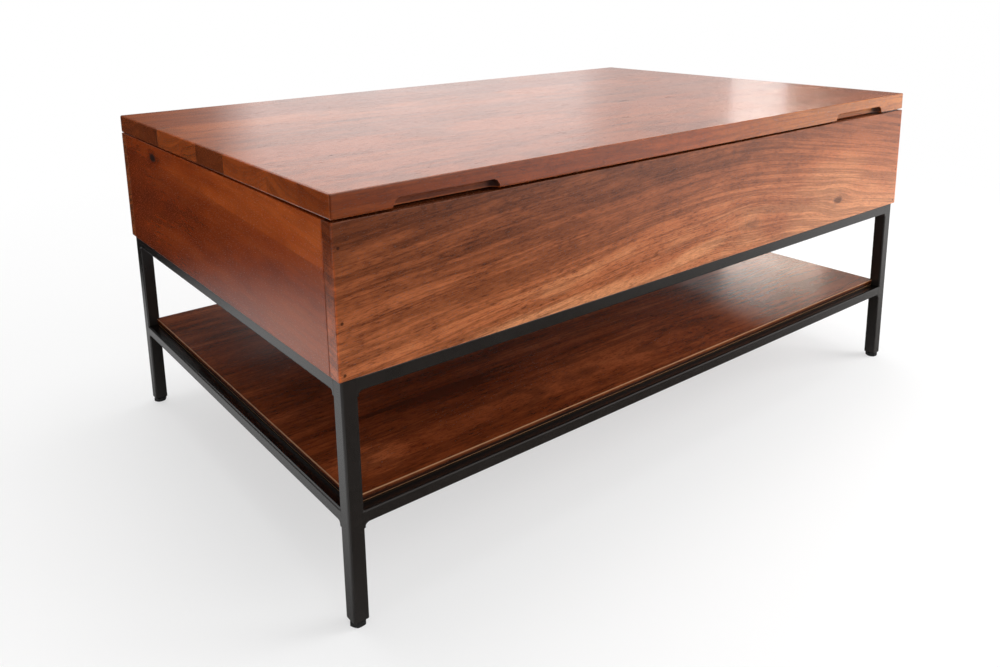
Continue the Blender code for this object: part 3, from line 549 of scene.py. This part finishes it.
def coatMaterial(name, coat):
    # two tones mixed by slow noise, which also changes the gloss, under a fine bump
    material, tree, shader = newMaterial(name)
    place, split = objectPlace(tree)
    slow = noise(tree, place, coat["patch"], 3.0)
    colour = mixColour(tree, slow, opaque(coat["deep"]), opaque(coat["pale"]))
    if coat["paintedTopShade"]:                                # painted shade on the top face below the shelf, where the shelf shades it
        colour = tint(tree, colour, grey(tree, ramp(tree, split[2], *coat["paintedTopShade"])))
    bump = put(tree, "ShaderNodeBump", {"Strength": coat["bump"], "Distance": coat["bumpDepth"],
                                        "Height": noise(tree, place, coat["peel"])}).outputs[0]
    feed(tree, shader, Base_Color=colour, Roughness=about(tree, slow, coat["glossSpread"], coat["gloss"]),
         Normal=bump, Metallic=coat["metal"])
    return material


frameSteel = coatMaterial("frame_steel", frameCoat)
lowerSteel = coatMaterial("lower_rail_steel", lowerCoat)
blackPlastic = coatMaterial("black_plastic", plasticCoat)
rubber = coatMaterial("rubber", rubberCoat)
zincSteel = coatMaterial("lift_steel", zincCoat)
pinSteel = coatMaterial("pin_steel", pinCoat)
springSteel = coatMaterial("spring_steel", springCoat)

dress(frameSteel, *namesFrom("leg_front", "leg_rear", "upper_rail"))
dress(lowerSteel, *namesFrom("lower_rail"))
dress(blackPlastic, *namesFrom("leg_plug", "levelling_foot"))
dress(rubber, *namesFrom("lid_bumper"))
dress(zincSteel, *namesFrom("base_bracket", "top_bracket", "main_arm", "follower_arm"))
dress(pinSteel, *namesFrom("spring_post", "sync_tube"), *[name for name in nodes if "_pin_" in name])
dress(springSteel, *namesFrom("lift_spring"))
print("metal, plastic and rubber dressed")


# Mesh work for the new pieces

def gridFaces(rows, columns, offset):
    # quads between neighbouring rows of a grid of points, each row a closed loop
    row = np.arange(rows - 1)[:, None] * columns
    column = np.arange(columns)[None, :]
    after = (column + 1) % columns
    quads = np.stack([row + column, row + column + columns, row + after + columns, row + after], axis=-1)
    return quads.reshape(-1, 4) + offset


def makePiece(name, grids, material, body, replaced=(), sharp=38.0):
    # one mesh from grids of closed loops; a loop drawn into a point becomes a pole when doubles are merged
    counts = [grid.shape[0] * grid.shape[1] for grid in grids]
    offsets = np.concatenate([[0], np.cumsum(counts)[:-1]])
    points = np.concatenate([grid.reshape(-1, 3) for grid in grids])
    quads = np.concatenate([gridFaces(*grid.shape[:2], offset) for grid, offset in zip(grids, offsets)])
    mesh = bpy.data.meshes.new(name)
    mesh.from_pydata(points.tolist(), [], quads.tolist())
    work = bmesh.new()
    work.from_mesh(mesh)
    bmesh.ops.remove_doubles(work, verts=work.verts, dist=1e-7)
    bmesh.ops.recalc_face_normals(work, faces=work.faces)
    work.to_mesh(mesh)
    work.free()
    mesh.polygons.foreach_set("use_smooth", np.ones(len(mesh.polygons), dtype=bool))
    mesh.set_sharp_from_angle(angle=math.radians(sharp))
    mesh.materials.append(material)
    piece = bpy.data.objects.new(name, mesh)
    bpy.context.scene.collection.objects.link(piece)
    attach(piece, body)
    if replaced:
        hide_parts(*replaced)
    return piece


def lathe(profile, centre, axis, sides=40):
    # a profile of (distance along the axis, radius) turned about that axis through a centre
    axis = np.asarray(axis, float)
    aside = np.cross(axis, (0.31, 0.53, 0.79))          # any direction that isn't along the axis
    aside = aside / np.linalg.norm(aside)
    turn = np.linspace(0, 2 * np.pi, sides, endpoint=False)[:, None]
    rim = np.cos(turn) * aside + np.sin(turn) * np.cross(axis, aside)
    profile = np.asarray(profile, float)
    return np.asarray(centre, float) + profile[:, :1, None] * axis + profile[:, 1:, None] * rim


def roundedLoop(width, height, radius, steps):
    # rectangle with quarter-round corners as (u, v), corner by corner
    turn = np.linspace(0, np.pi / 2, steps)[None, :] + np.arange(4)[:, None] * np.pi / 2
    signs = np.array([(1, 1), (-1, 1), (-1, -1), (1, -1)], float)
    middle = signs * (width / 2 - radius, height / 2 - radius)
    loop = middle[:, None, :] + radius * np.stack([np.cos(turn), np.sin(turn)], axis=-1)
    return loop.reshape(-1, 2)


# Lid with softened arrises and scooped finger notches

lidShape = dict(topEase=0.0013, lowEase=0.0016, endEase=0.0024, guard=0.0014, steps=13,
                notchStart=lidWood["notchStart"], notchLength=lidWood["notchLength"], notchHeight=0.011,
                notchDepth=0.012, notchRound=0.010, notchPower=0.5, notchTurn=3, notchSteps=14)


def lidSurface(shape):
    # A section across the lid, a rectangle with rounded corners, is carried along its length and draws in
    # by a quarter round at both ends. Along a finger notch the section's lower front corner turns into a
    # hollow quarter of a superellipse, whose size follows a flat arch with round ends. Guard lines keep the
    # flat faces flat.
    (xLow, yLow, zLow), (_, yHigh, zHigh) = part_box("lid_top")
    guard, ease, steps = shape["guard"], shape["endEase"], shape["steps"]
    quarter = np.linspace(0, np.pi / 2, steps)
    rise = shape["notchRound"] * (1 - np.cos(np.linspace(0, np.pi / 2, shape["notchSteps"])))
    edges = np.concatenate([[-guard], rise, [shape["notchRound"] + guard]])
    first = xLow + shape["notchStart"]
    notch = np.concatenate([first + edges, first + shape["notchLength"] - edges[::-1]])
    ends = np.concatenate([[0, 0], ease * (1 - np.cos(quarter)), [ease + guard]])
    inset = np.concatenate([[1, ease + guard], ease * (1 - np.sin(quarter)), [0]])    # 1 m draws in to a pole
    half = np.concatenate([xLow + ends, notch])
    x = np.concatenate([half, -half[::-1]])
    inset = np.concatenate([inset, np.zeros(2 * len(notch)), inset[::-1]])

    # size of the notch at each section
    reach = np.abs(x) - (-xLow - shape["notchStart"] - shape["notchLength"] / 2)
    within = np.clip((shape["notchLength"] / 2 - np.abs(reach)) / shape["notchRound"], 0, 1)
    arch = np.sqrt(1 - (1 - within) ** 2)
    share = np.clip(arch * shape["notchTurn"], 0, 1)[:, None]
    tall, deep = shape["notchHeight"] * arch[:, None], shape["notchDepth"] * arch[:, None]

    # the section, from the lower front corner round by the rear and the top
    low, top, power = shape["lowEase"], shape["topEase"], shape["notchPower"]
    sine, cosine = np.sin(quarter)[None, :], np.cos(quarter)[None, :]
    frontY = (1 - share) * (yLow + low * (1 - cosine)) + share * (yLow + deep * sine ** power)
    frontZ = (1 - share) * (zLow + low * (1 - sine)) + share * (zLow + tall * np.clip(cosine, 0, 1) ** power)
    one = np.ones_like(share)
    upper = np.maximum(low, tall) + guard
    inner = np.maximum(low, deep) + guard
    y = np.hstack([yLow * one, frontY, yLow + inner,
                   (yHigh - low - guard) * one, yHigh - low + low * sine * one, yHigh * one,
                   yHigh * one, yHigh - top + top * cosine * one, (yHigh - top - guard) * one,
                   (yLow + top + guard) * one, yLow + top - top * sine * one, yLow * one])
    z = np.hstack([zLow + upper, frontZ, zLow * one,
                   zLow * one, zLow + low - low * cosine * one, (zLow + low + guard) * one,
                   (zHigh - top - guard) * one, zHigh - top + top * sine * one, zHigh * one,
                   zHigh * one, zHigh - top + top * cosine * one, (zHigh - top - guard) * one])
    middle = (zLow + zHigh) / 2
    draw = inset[:, None]
    y = np.clip(1 - draw / yHigh, 0, 1) * y
    z = middle + np.clip(1 - draw / (zHigh - middle), 0, 1) * (z - middle)
    y[draw[:, 0] == 1] = 0
    return np.stack([np.broadcast_to(x[:, None], y.shape), y, z], axis=-1)


lidMaterial = nodes["lid_top"].data.materials[0]
makePiece("lid_board", [lidSurface(lidShape)], lidMaterial, "lid", ("lid_top",))
print("lid made")


# Weld runs that close the joints between rails and legs

weld = dict(inside=0.0005, reach=0.0024, stand=0.00004, swell=0.00010, corner=0.0022, cornerSteps=6, rings=7)


def weldRun(name, end):
    # The rail's end section as a sleeve that goes on over the rounded corner of the leg, a hair proud of
    # both, with a slight swell along its middle.
    low, high = (np.array(corner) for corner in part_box(name))
    along = int(np.argmax(high - low))
    across = 1 - along
    width, height = high[across] - low[across], high[2] - low[2]
    t = np.linspace(0, 1, weld["rings"])[:, None, None]
    proud = weld["stand"] + weld["swell"] * np.sin(np.pi * t)
    loop = roundedLoop(width, height, weld["corner"], weld["cornerSteps"])[None]
    outer = np.abs(loop) > np.array([width, height]) / 2 - weld["corner"] / 3    # points near a flat face
    loop = loop + np.sign(loop) * proud * outer
    tip = high[along] if end > 0 else low[along]
    grid = np.empty((weld["rings"], loop.shape[1], 3))
    grid[..., along] = tip + end * (-weld["inside"] + t[..., 0] * (weld["inside"] + weld["reach"]))
    grid[..., across] = (low[across] + high[across]) / 2 + loop[..., 0]
    grid[..., 2] = (low[2] + high[2]) / 2 + loop[..., 1]
    cap = np.broadcast_to(grid.mean(axis=1, keepdims=True), grid.shape)
    return np.concatenate([cap[:1], grid, cap[-1:]])


rails = [name for name in nodes if "_rail_" in name]
makePiece("frame_welds", [weldRun(name, end) for name in rails for end in (-1, 1)], frameSteel, "table_base")
print("welds made")


# Levelling feet

foot = dict(flats=0.017, padHeight=0.0062, chamferRise=0.0007, chamferRim=0.0082, chamferRings=5,
            stemRadius=0.0040, stemTop=0.0362, tip=0.0015, pitch=0.00125, thread=0.00055, flank=2.2, land=0.1,
            sides=72, ringsPerTurn=8, sharp=24.0)


def footSurface(x, y):
    # Radius by angle and height: a hexagon cut by two cones makes the pad, and a screw thread, whose phase
    # turns once per pitch, makes the stem, which narrows at its tip.
    turn = np.linspace(0, 2 * np.pi, foot["sides"], endpoint=False)[None, :]
    hexagon = foot["flats"] / 2 / np.cos(turn % (np.pi / 3) - np.pi / 6)
    bevel = np.linspace(0, foot["chamferRise"], foot["chamferRings"])[:, None]
    padZ = np.concatenate([bevel, foot["padHeight"] - bevel[::-1]])
    fromFace = np.minimum(padZ, foot["padHeight"] - padZ)
    cone = foot["chamferRim"] + fromFace / foot["chamferRise"] * (hexagon.max() - foot["chamferRim"])
    pad = np.minimum(hexagon, cone)
    turns = (foot["stemTop"] - foot["padHeight"]) / foot["pitch"]
    stemZ = np.linspace(foot["padHeight"], foot["stemTop"], int(turns * foot["ringsPerTurn"]))[:, None]
    phase = ((stemZ - foot["padHeight"]) / foot["pitch"] - turn / (2 * np.pi)) % 1
    groove = np.clip(foot["flank"] * np.abs(phase - 0.5) - foot["land"], 0, 1)
    lead = np.clip((foot["stemTop"] - stemZ) / foot["tip"], 0, 1)
    stem = foot["stemRadius"] - foot["thread"] * np.maximum(groove, 1 - lead)
    radius = np.vstack([np.zeros_like(turn), pad, stem, np.zeros_like(turn)])
    z = np.broadcast_to(np.vstack([padZ[:1], padZ, stemZ, stemZ[-1:]]), radius.shape)
    return np.stack([x + radius * np.cos(turn), y + radius * np.sin(turn), z], axis=-1)


for corner in ("front_left", "front_right", "rear_left", "rear_right"):
    node = "levelling_foot_" + corner
    middle = boxMiddle(node)
    makePiece(node + "_turned", [footSurface(middle.x, middle.y)], blackPlastic, "foot_" + corner,
              (node,), foot["sharp"])
print("feet made")


# Pivot pins with domed heads, and the cross tube

pin = dict(shank=0.0040, springShank=0.0035, headHeight=0.002, ease=0.0004, headEase=0.0002, rim=0.0007,
           crown=0.55, crownInset=0.0003, crownRings=12, dimple=0.0004, dimpleWidth=0.0012)
pinBodies = dict(main_lower_pin_="table_base", follower_lower_pin_="table_base", main_upper_pin_="lid",
                 follower_upper_pin_="lid", spring_post_="table_base", spring_lever_pin_="main_arms")
tube = dict(wall=0.0015, ease=0.0005, sides=64)


def pinSurface(node):
    # Shank, flat shoulder, rim and a crown that falls off with the square of the distance from the middle,
    # turned about the X axis; the head lies on the inner side.
    low, high = (np.array(corner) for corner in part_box(node))
    middle = (low + high) / 2
    inward = -1.0 if middle[0] > 0 else 1.0
    head = (high[2] - low[2]) / 2
    shank = pin["springShank"] if "spring" in node else pin["shank"]
    length = high[0] - low[0]
    shoulder = length - pin["headHeight"]
    r = np.linspace(head - pin["crownInset"], 0, pin["crownRings"])
    fall = (pin["headHeight"] - pin["rim"]) * pin["crown"] * (r / head) ** 2
    crown = length - fall - pin["dimple"] * np.exp(-(r / pin["dimpleWidth"]) ** 2)
    profile = [(0, 0), (0, shank - pin["ease"]), (pin["ease"], shank), (shoulder, shank),
               (shoulder, head - pin["headEase"]), (shoulder + pin["headEase"], head),
               (shoulder + pin["rim"], head)]
    profile = np.concatenate([profile, np.stack([crown, r], axis=-1)])
    start = (high[0] if inward < 0 else low[0], middle[1], middle[2])
    return lathe(profile, start, (inward, 0, 0))


def tubeSurface(node):
    # a ring's section with eased outer corners, turned about the X axis
    low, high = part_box(node)
    length, radius, ease = high.x - low.x, (high.z - low.z) / 2, tube["ease"]
    bore = radius - tube["wall"]
    profile = [(0, bore), (0, radius - ease), (ease, radius), (length - ease, radius),
               (length, radius - ease), (length, bore), (0, bore)]
    return lathe(profile, (low.x, low.y + radius, low.z + radius), (1, 0, 0), tube["sides"])


for stem, body in pinBodies.items():
    for side in ("left", "right"):
        node = stem + side
        makePiece(node + "_turned", [pinSurface(node)], pinSteel, body, (node,))
makePiece("sync_tube_drawn", [tubeSurface("sync_tube")], pinSteel, "main_arms", ("sync_tube",))
print("pins and cross tube made")


# Lift springs

springPost = boxMiddle("spring_post_right")
springPin = boxMiddle("spring_lever_pin_right")
spring = dict(x=boxMiddle("lift_spring_right").x, front=springPin.y, rear=springPost.y, level=springPost.z,
              wire=0.0015, radius=0.0065, hook=0.0062, hookSteps=40, lead=0.012, leadSteps=14, leadPull=0.010,
              leadSlope=0.17, turns=26, opening=math.radians(75), keep=0.789, around=14, perTurn=32,
              capSteps=5, sharp=60.0)


def springPath():
    # Middle line: an open hook in the plane of the pin, a smooth cubic lead, a helix along Y, and the same
    # again mirrored at the rear. The second result is the reference direction that its section keeps.
    length = spring["rear"] - spring["front"]
    arc = np.linspace(2 * np.pi - spring["opening"], spring["opening"], spring["hookSteps"])
    hook = spring["hook"] * np.stack([np.zeros_like(arc), np.cos(arc), np.sin(arc)], axis=-1)
    t = np.linspace(0, 2 * np.pi * spring["turns"], spring["turns"] * spring["perTurn"] + 1)
    climb = spring["lead"] + (length - 2 * spring["lead"]) * t / t[-1]
    coil = np.stack([spring["radius"] * np.sin(t), climb, spring["radius"] * np.cos(t)], axis=-1)
    s = np.linspace(0, 1, spring["leadSteps"])[1:-1, None]
    leave = np.array([0, math.sin(spring["opening"]), -math.cos(spring["opening"])]) * spring["leadPull"]
    enter = np.array([1.0, spring["leadSlope"], 0]) * spring["leadPull"]
    lead = ((2 * s ** 3 - 3 * s ** 2 + 1) * hook[-1] + (s ** 3 - 2 * s ** 2 + s) * leave
            + (3 * s ** 2 - 2 * s ** 3) * coil[0] + (s ** 3 - s ** 2) * enter)
    mirror = np.array([-1.0, -1.0, 1.0])
    shift = np.array([0, length, 0])
    path = np.concatenate([hook, lead, coil, (lead * mirror + shift)[::-1], (hook * mirror + shift)[::-1]])
    still = np.zeros(len(hook))
    blend = np.concatenate([still, s[:, 0], np.ones(len(coil)), s[::-1, 0], still])[:, None]
    reference = (1 - blend) * np.array([1.0, 0, 0]) + blend * np.array([0, -1.0, 0])
    return path, reference


def springSurface(side):
    # a round section carried along the spring's path, with rounded ends
    path, reference = springPath()
    path = path * (side, 1, 1) + (side * spring["x"], spring["front"], spring["level"])
    reference = reference * (side, 1, 1)
    ahead = np.gradient(path, axis=0)
    ahead = ahead / np.linalg.norm(ahead, axis=1, keepdims=True)
    normal = reference - (reference * ahead).sum(axis=1, keepdims=True) * ahead
    normal = normal / np.linalg.norm(normal, axis=1, keepdims=True)
    other = np.cross(ahead, normal)
    cap = np.cos(np.linspace(0, np.pi / 2, spring["capSteps"]))[:, None, None]
    turn = np.linspace(0, 2 * np.pi, spring["around"], endpoint=False)[None, :, None]
    ring = spring["wire"] * (np.cos(turn) * normal[:, None] + np.sin(turn) * other[:, None])
    dome = spring["wire"] * np.sqrt(1 - cap ** 2)
    first = path[0] - dome * ahead[0] + cap * ring[:1]
    last = path[-1] + dome * ahead[-1] + cap * ring[-1:]
    return np.concatenate([first[::-1], path[:, None] + ring, last])


for side, sign in (("left", -1), ("right", 1)):
    coil = makePiece("lift_spring_" + side + "_wound", [springSurface(sign)], springSteel, "table_base",
                     ("lift_spring_" + side,), spring["sharp"])
    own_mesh(coil)
print("springs made")


# Screws

screw = dict(radius=0.0040, height=0.0021, rimPower=0.7, crownPower=0.9, rings=10, topRings=8, sides=64,
             shank=0.0020, shankDepth=0.0015, slotWidth=0.00055, slotReach=0.0024, slotDepth=0.0012,
             slotLevel=0.5, diagonal=1.414)
screwPlace = dict(baseInset=0.00455, lidInset=0.0122, margin=0.012, count=3, plate=0.0025, fillet=0.006,
                  long=(-0.35, 0.0, 0.35), short=(-0.20, 0.20))


def screwHead(place, axis):
    # A pan head: radius against height follows a quarter of a flat superellipse. Its cross slot sinks where
    # either of two narrow bars covers the head.
    rise = np.linspace(0, np.pi / 2, screw["rings"])
    radius = screw["radius"] * np.cos(rise) ** screw["rimPower"]
    height = screw["height"] * np.sin(rise) ** screw["crownPower"]
    inner = np.linspace(radius[-2], 0, screw["topRings"])[1:]
    below, shank = -screw["shankDepth"], screw["shank"]
    profile = np.concatenate([[(below, 0), (below, shank), (0, shank), (0, screw["radius"])],
                              np.stack([height[:-1], radius[:-1]], axis=-1),
                              np.stack([np.full(len(inner), screw["height"]), inner], axis=-1)])
    grid = lathe(profile, (0, 0, 0), axis, screw["sides"])
    axis = np.asarray(axis, float)
    up = grid @ axis
    flat = grid - up[..., None] * axis
    a = np.abs(flat[..., 0] + flat[..., 1]) / screw["diagonal"]
    b = np.abs(flat[..., 0] - flat[..., 1]) / screw["diagonal"]
    width, reach = screw["slotWidth"], screw["slotReach"]
    bar = ((a < width) & (b < reach)) | ((b < width) & (a < reach))
    sunk = bar * (up > screw["height"] * screw["slotLevel"]) * screw["slotDepth"]
    return grid - sunk[..., None] * axis + np.asarray(place)


def flangeScrews(bracket, inset, up):
    # a row of heads along a bracket's flange, in from its ends and from its inner edge
    low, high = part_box(bracket)
    x = low.x + inset if low.x > 0 else high.x - inset
    z = low.z + screwPlace["plate"] if up > 0 else high.z - screwPlace["plate"]
    row = np.linspace(low.y + screwPlace["margin"], high.y - screwPlace["margin"], screwPlace["count"])
    return [screwHead((x, y, z), (0, 0, up)) for y in row]


def railScrews(rail):
    # a row of heads along the underside of a rail, above the fillets at its ends
    middle = boxMiddle(rail)
    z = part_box(rail)[0].z + screwPlace["fillet"]
    if rail.endswith(("front", "rear")):
        places = [(x, middle.y, z) for x in screwPlace["long"]]
    else:
        places = [(middle.x, y, z) for y in screwPlace["short"]]
    return [screwHead(place, (0, 0, -1)) for place in places]


bracketHeads, lidHeads = [], []
for side in ("left", "right"):
    bracketHeads += flangeScrews("base_bracket_" + side, screwPlace["baseInset"], 1)
    lidHeads += flangeScrews("top_bracket_" + side, screwPlace["lidInset"], -1)
frameHeads = [head for rail in rails for head in railScrews(rail)]
makePiece("bracket_screws", bracketHeads, zincSteel, "table_base")
makePiece("lid_screws", lidHeads, zincSteel, "lid")
makePiece("frame_screws", frameHeads, frameSteel, "table_base")
print("screws made")


# Studio

floorLook = dict(size=200.0, drop=0.0002, colour=(0.86, 0.86, 0.86), roughness=0.9, shine=0.1,
                 paperEdge=(1.40, 0.88), paperLeft=(-0.45, -0.75), paperGlow=0.84, paperRight=(0.1, 1.5),
                 dark=0.01, shadowReach=(0.7, 2.2), whiteShare=0.58)
room = dict(ambient=0.48, ceiling=(0.322, 0.342), ceilingGlow=0.2, wallTop=(0.24, 0.29),
            wallGlow=(1.0, 0.86, 0.76), wallStart=(50, 58), wallEnd=(112, 96),
            # brightness by azimuth: dark room, backdrop, a dimmer stretch of it, and the wall at the right
            levels=[(-180, 0.4), (-60, 0.4), (-40, 0.02), (14, 0.02), (18.5, 0.16), (20.0, 0.24),
                    (22.5, 0.84), (30, 0.92), (43.5, 0.92), (45.5, 0.59), (52, 0.63), (56.5, 0.60),
                    (57.5, 0.17), (59, 0.12), (61, 0.18), (66, 0.16), (100, 0.24), (112, 1.0), (124, 1.0),
                    (140, 0.6), (150, 0.4)])
lamps = [dict(name="key", place=(0.9, -3.0, 2.2), aim=(0.0, 0.0, 0.3), size=(4.4, 3.2), glow=0.68),
         dict(name="top", place=(0.2, 0.3, 3.0), aim=(0.0, 0.0, 0.4), size=(2.4, 1.8), glow=4.0),
         dict(name="right", place=(2.0, -1.5, 1.0), aim=(0.5, -0.3, 0.35), size=(1.2, 1.4), glow=8.5,
              mirrored=False),
         dict(name="rear", place=(-0.6, 3.4, 3.2), aim=(0.0, 0.0, 0.3), size=(2.8, 2.0), glow=1.5)]
for width in (0.10, 0.17, 0.25):                       # three nested panes give the window soft edges
    lamps.append(dict(name="window", place=(2.533, 1.322, 1.15), aim=(0.2, -0.2, 0.45), size=(width, 1.8),
                      glow=0.40))
lamps.append(dict(name="upper window", place=(6.81, 4.02, 2.458), aim=(0.40, -0.17, 0.146), size=(1.0, 0.40),
                  glow=4.8, colour=(1.0, 0.84, 0.72)))
view = dict(place=(-0.9143, -1.0748, 0.6771), turn=38.332, down=12.137, roll=-0.827, lens=30.93, sensor=36.0,
            shift=-0.1635)


def makeFloor():
    # Pale paper that turns plain white to the camera further off. In reflections it is dark, apart from a
    # sheet at the left and the far floor at the right.
    size = floorLook["size"] / 2
    corners = np.array([(-size, -size, 0), (size, -size, 0), (size, size, 0), (-size, size, 0)], float)
    corners[:, 2] = cadLow.z - floorLook["drop"]
    mesh = bpy.data.meshes.new("floor")
    mesh.from_pydata(corners.tolist(), [], [(0, 1, 2, 3)])
    floor = bpy.data.objects.new("floor", mesh)
    bpy.context.scene.collection.objects.link(floor)
    material, tree, shader = newMaterial("floor")
    feed(tree, shader, Base_Color=opaque(floorLook["colour"]), Roughness=floorLook["roughness"],
         Specular_IOR_Level=floorLook["shine"])
    rays = put(tree, "ShaderNodeLightPath").outputs
    split = objectPlace(tree)[1]
    away = distance(tree, split[0], split[1])
    left = product(tree, ramp(tree, away, *floorLook["paperEdge"]),
                   ramp(tree, split[0], *floorLook["paperLeft"], 0.0, floorLook["paperGlow"]))
    glow = total(tree, larger(tree, left, ramp(tree, split[0], *floorLook["paperRight"])), floorLook["dark"])
    glow = put(tree, "ShaderNodeMix", {0: rays["Is Glossy Ray"], 2: 1.0, 3: glow}).outputs[0]
    white = put(tree, "ShaderNodeEmission", {"Strength": glow})
    far = ramp(tree, away, *floorLook["shadowReach"], floorLook["whiteShare"], 1.0)
    share = larger(tree, product(tree, rays["Is Camera Ray"], far),
                   larger(tree, rays["Is Glossy Ray"], rays["Is Transmission Ray"]))
    both = put(tree, "ShaderNodeMixShader", {0: share, 1: shader.outputs[0], 2: white.outputs[0]})
    tree.links.new(both.outputs[0], tree.nodes["Material Output"].inputs[0])
    mesh.materials.append(material)


def at(degrees):
    # an azimuth as a share of the full turn
    return 0.5 + degrees / 360.0


def makeWorld():
    # white for what the camera sees, dark cloths at both sides of the backdrop in reflections
    world = bpy.data.worlds.new("studio")
    bpy.context.scene.world = world
    world.use_nodes = True
    tree = world.node_tree
    rays = put(tree, "ShaderNodeLightPath").outputs
    towards = put(tree, "ShaderNodeTexCoord").outputs["Generated"]
    towards = put(tree, "ShaderNodeSeparateXYZ", {0: towards}).outputs
    turn = calc(tree, "ARCTAN2", towards[0], towards[1])
    turn = over(tree, total(tree, turn, math.pi), 2 * math.pi)
    levels = [(at(azimuth), (level, level, level)) for azimuth, level in room["levels"]]
    cloths = colourSteps(tree, turn, levels)
    wallStart, wallEnd = ([at(azimuth) for azimuth in room[key]] for key in ("wallStart", "wallEnd"))
    wall = product(tree, ramp(tree, turn, *wallStart), ramp(tree, turn, *wallEnd),
                   ramp(tree, towards[2], *room["wallTop"]))
    wall = vector(tree, *[product(tree, wall, glow) for glow in room["wallGlow"]])
    cloths = mixColour(tree, 1.0, cloths, wall, "LIGHTEN")
    ceiling = ramp(tree, towards[2], *room["ceiling"], 1.0, room["ceilingGlow"])
    cloths = tint(tree, cloths, grey(tree, ceiling))
    backdrop = mixColour(tree, rays["Is Glossy Ray"], (1.0, 1.0, 1.0, 1.0), cloths)
    seen = larger(tree, rays["Is Camera Ray"],
                  larger(tree, rays["Is Glossy Ray"], rays["Is Transmission Ray"]))
    ambient = tree.nodes["Background"]
    ambient.inputs[0].default_value = (1.0, 1.0, 1.0, 1.0)
    ambient.inputs[1].default_value = room["ambient"]
    show = put(tree, "ShaderNodeBackground", {0: backdrop, 1: 1.0})
    both = put(tree, "ShaderNodeMixShader", {0: seen, 1: ambient.outputs[0], 2: show.outputs[0]})
    tree.links.new(both.outputs[0], tree.nodes["World Output"].inputs[0])


def softbox(name, place, aim, size, glow, colour=(1.0, 1.0, 1.0), mirrored=True):
    # an area lamp that faces a point; glow is its brightness, so that power follows its area
    lamp = bpy.data.lights.new(name, "AREA")
    lamp.shape = "RECTANGLE"
    lamp.size, lamp.size_y = size
    lamp.color = colour
    lamp.energy = glow * math.pi * size[0] * size[1]
    box = bpy.data.objects.new(name, lamp)
    box.location = place
    box.rotation_mode = "QUATERNION"
    box.rotation_quaternion = (Vector(aim) - Vector(place)).to_track_quat("-Z", "Y")
    box.visible_camera = False
    box.visible_glossy = mirrored
    bpy.context.scene.collection.objects.link(box)


def makeCamera():
    # turn is the azimuth it looks along, down its dip, and roll turns it about its own axis
    turn, down, roll = (math.radians(view[key]) for key in ("turn", "down", "roll"))
    ahead = Vector((math.sin(turn) * math.cos(down), math.cos(turn) * math.cos(down), -math.sin(down)))
    right = Vector((math.cos(turn), -math.sin(turn), 0.0))
    up = right.cross(ahead)
    across = math.cos(roll) * right + math.sin(roll) * up
    upright = math.cos(roll) * up - math.sin(roll) * right
    turned = Matrix((across, upright, -ahead)).transposed()
    data = bpy.data.cameras.new("camera")
    data.lens, data.sensor_width, data.shift_y = view["lens"], view["sensor"], view["shift"]
    camera = bpy.data.objects.new("camera", data)
    camera.matrix_world = Matrix.Translation(view["place"]) @ turned.to_4x4()
    bpy.context.scene.collection.objects.link(camera)
    bpy.context.scene.camera = camera


makeFloor()
makeWorld()
for lamp in lamps:
    softbox(**lamp)
makeCamera()
bpy.context.scene.view_settings.view_transform = "Standard"
print("studio set")
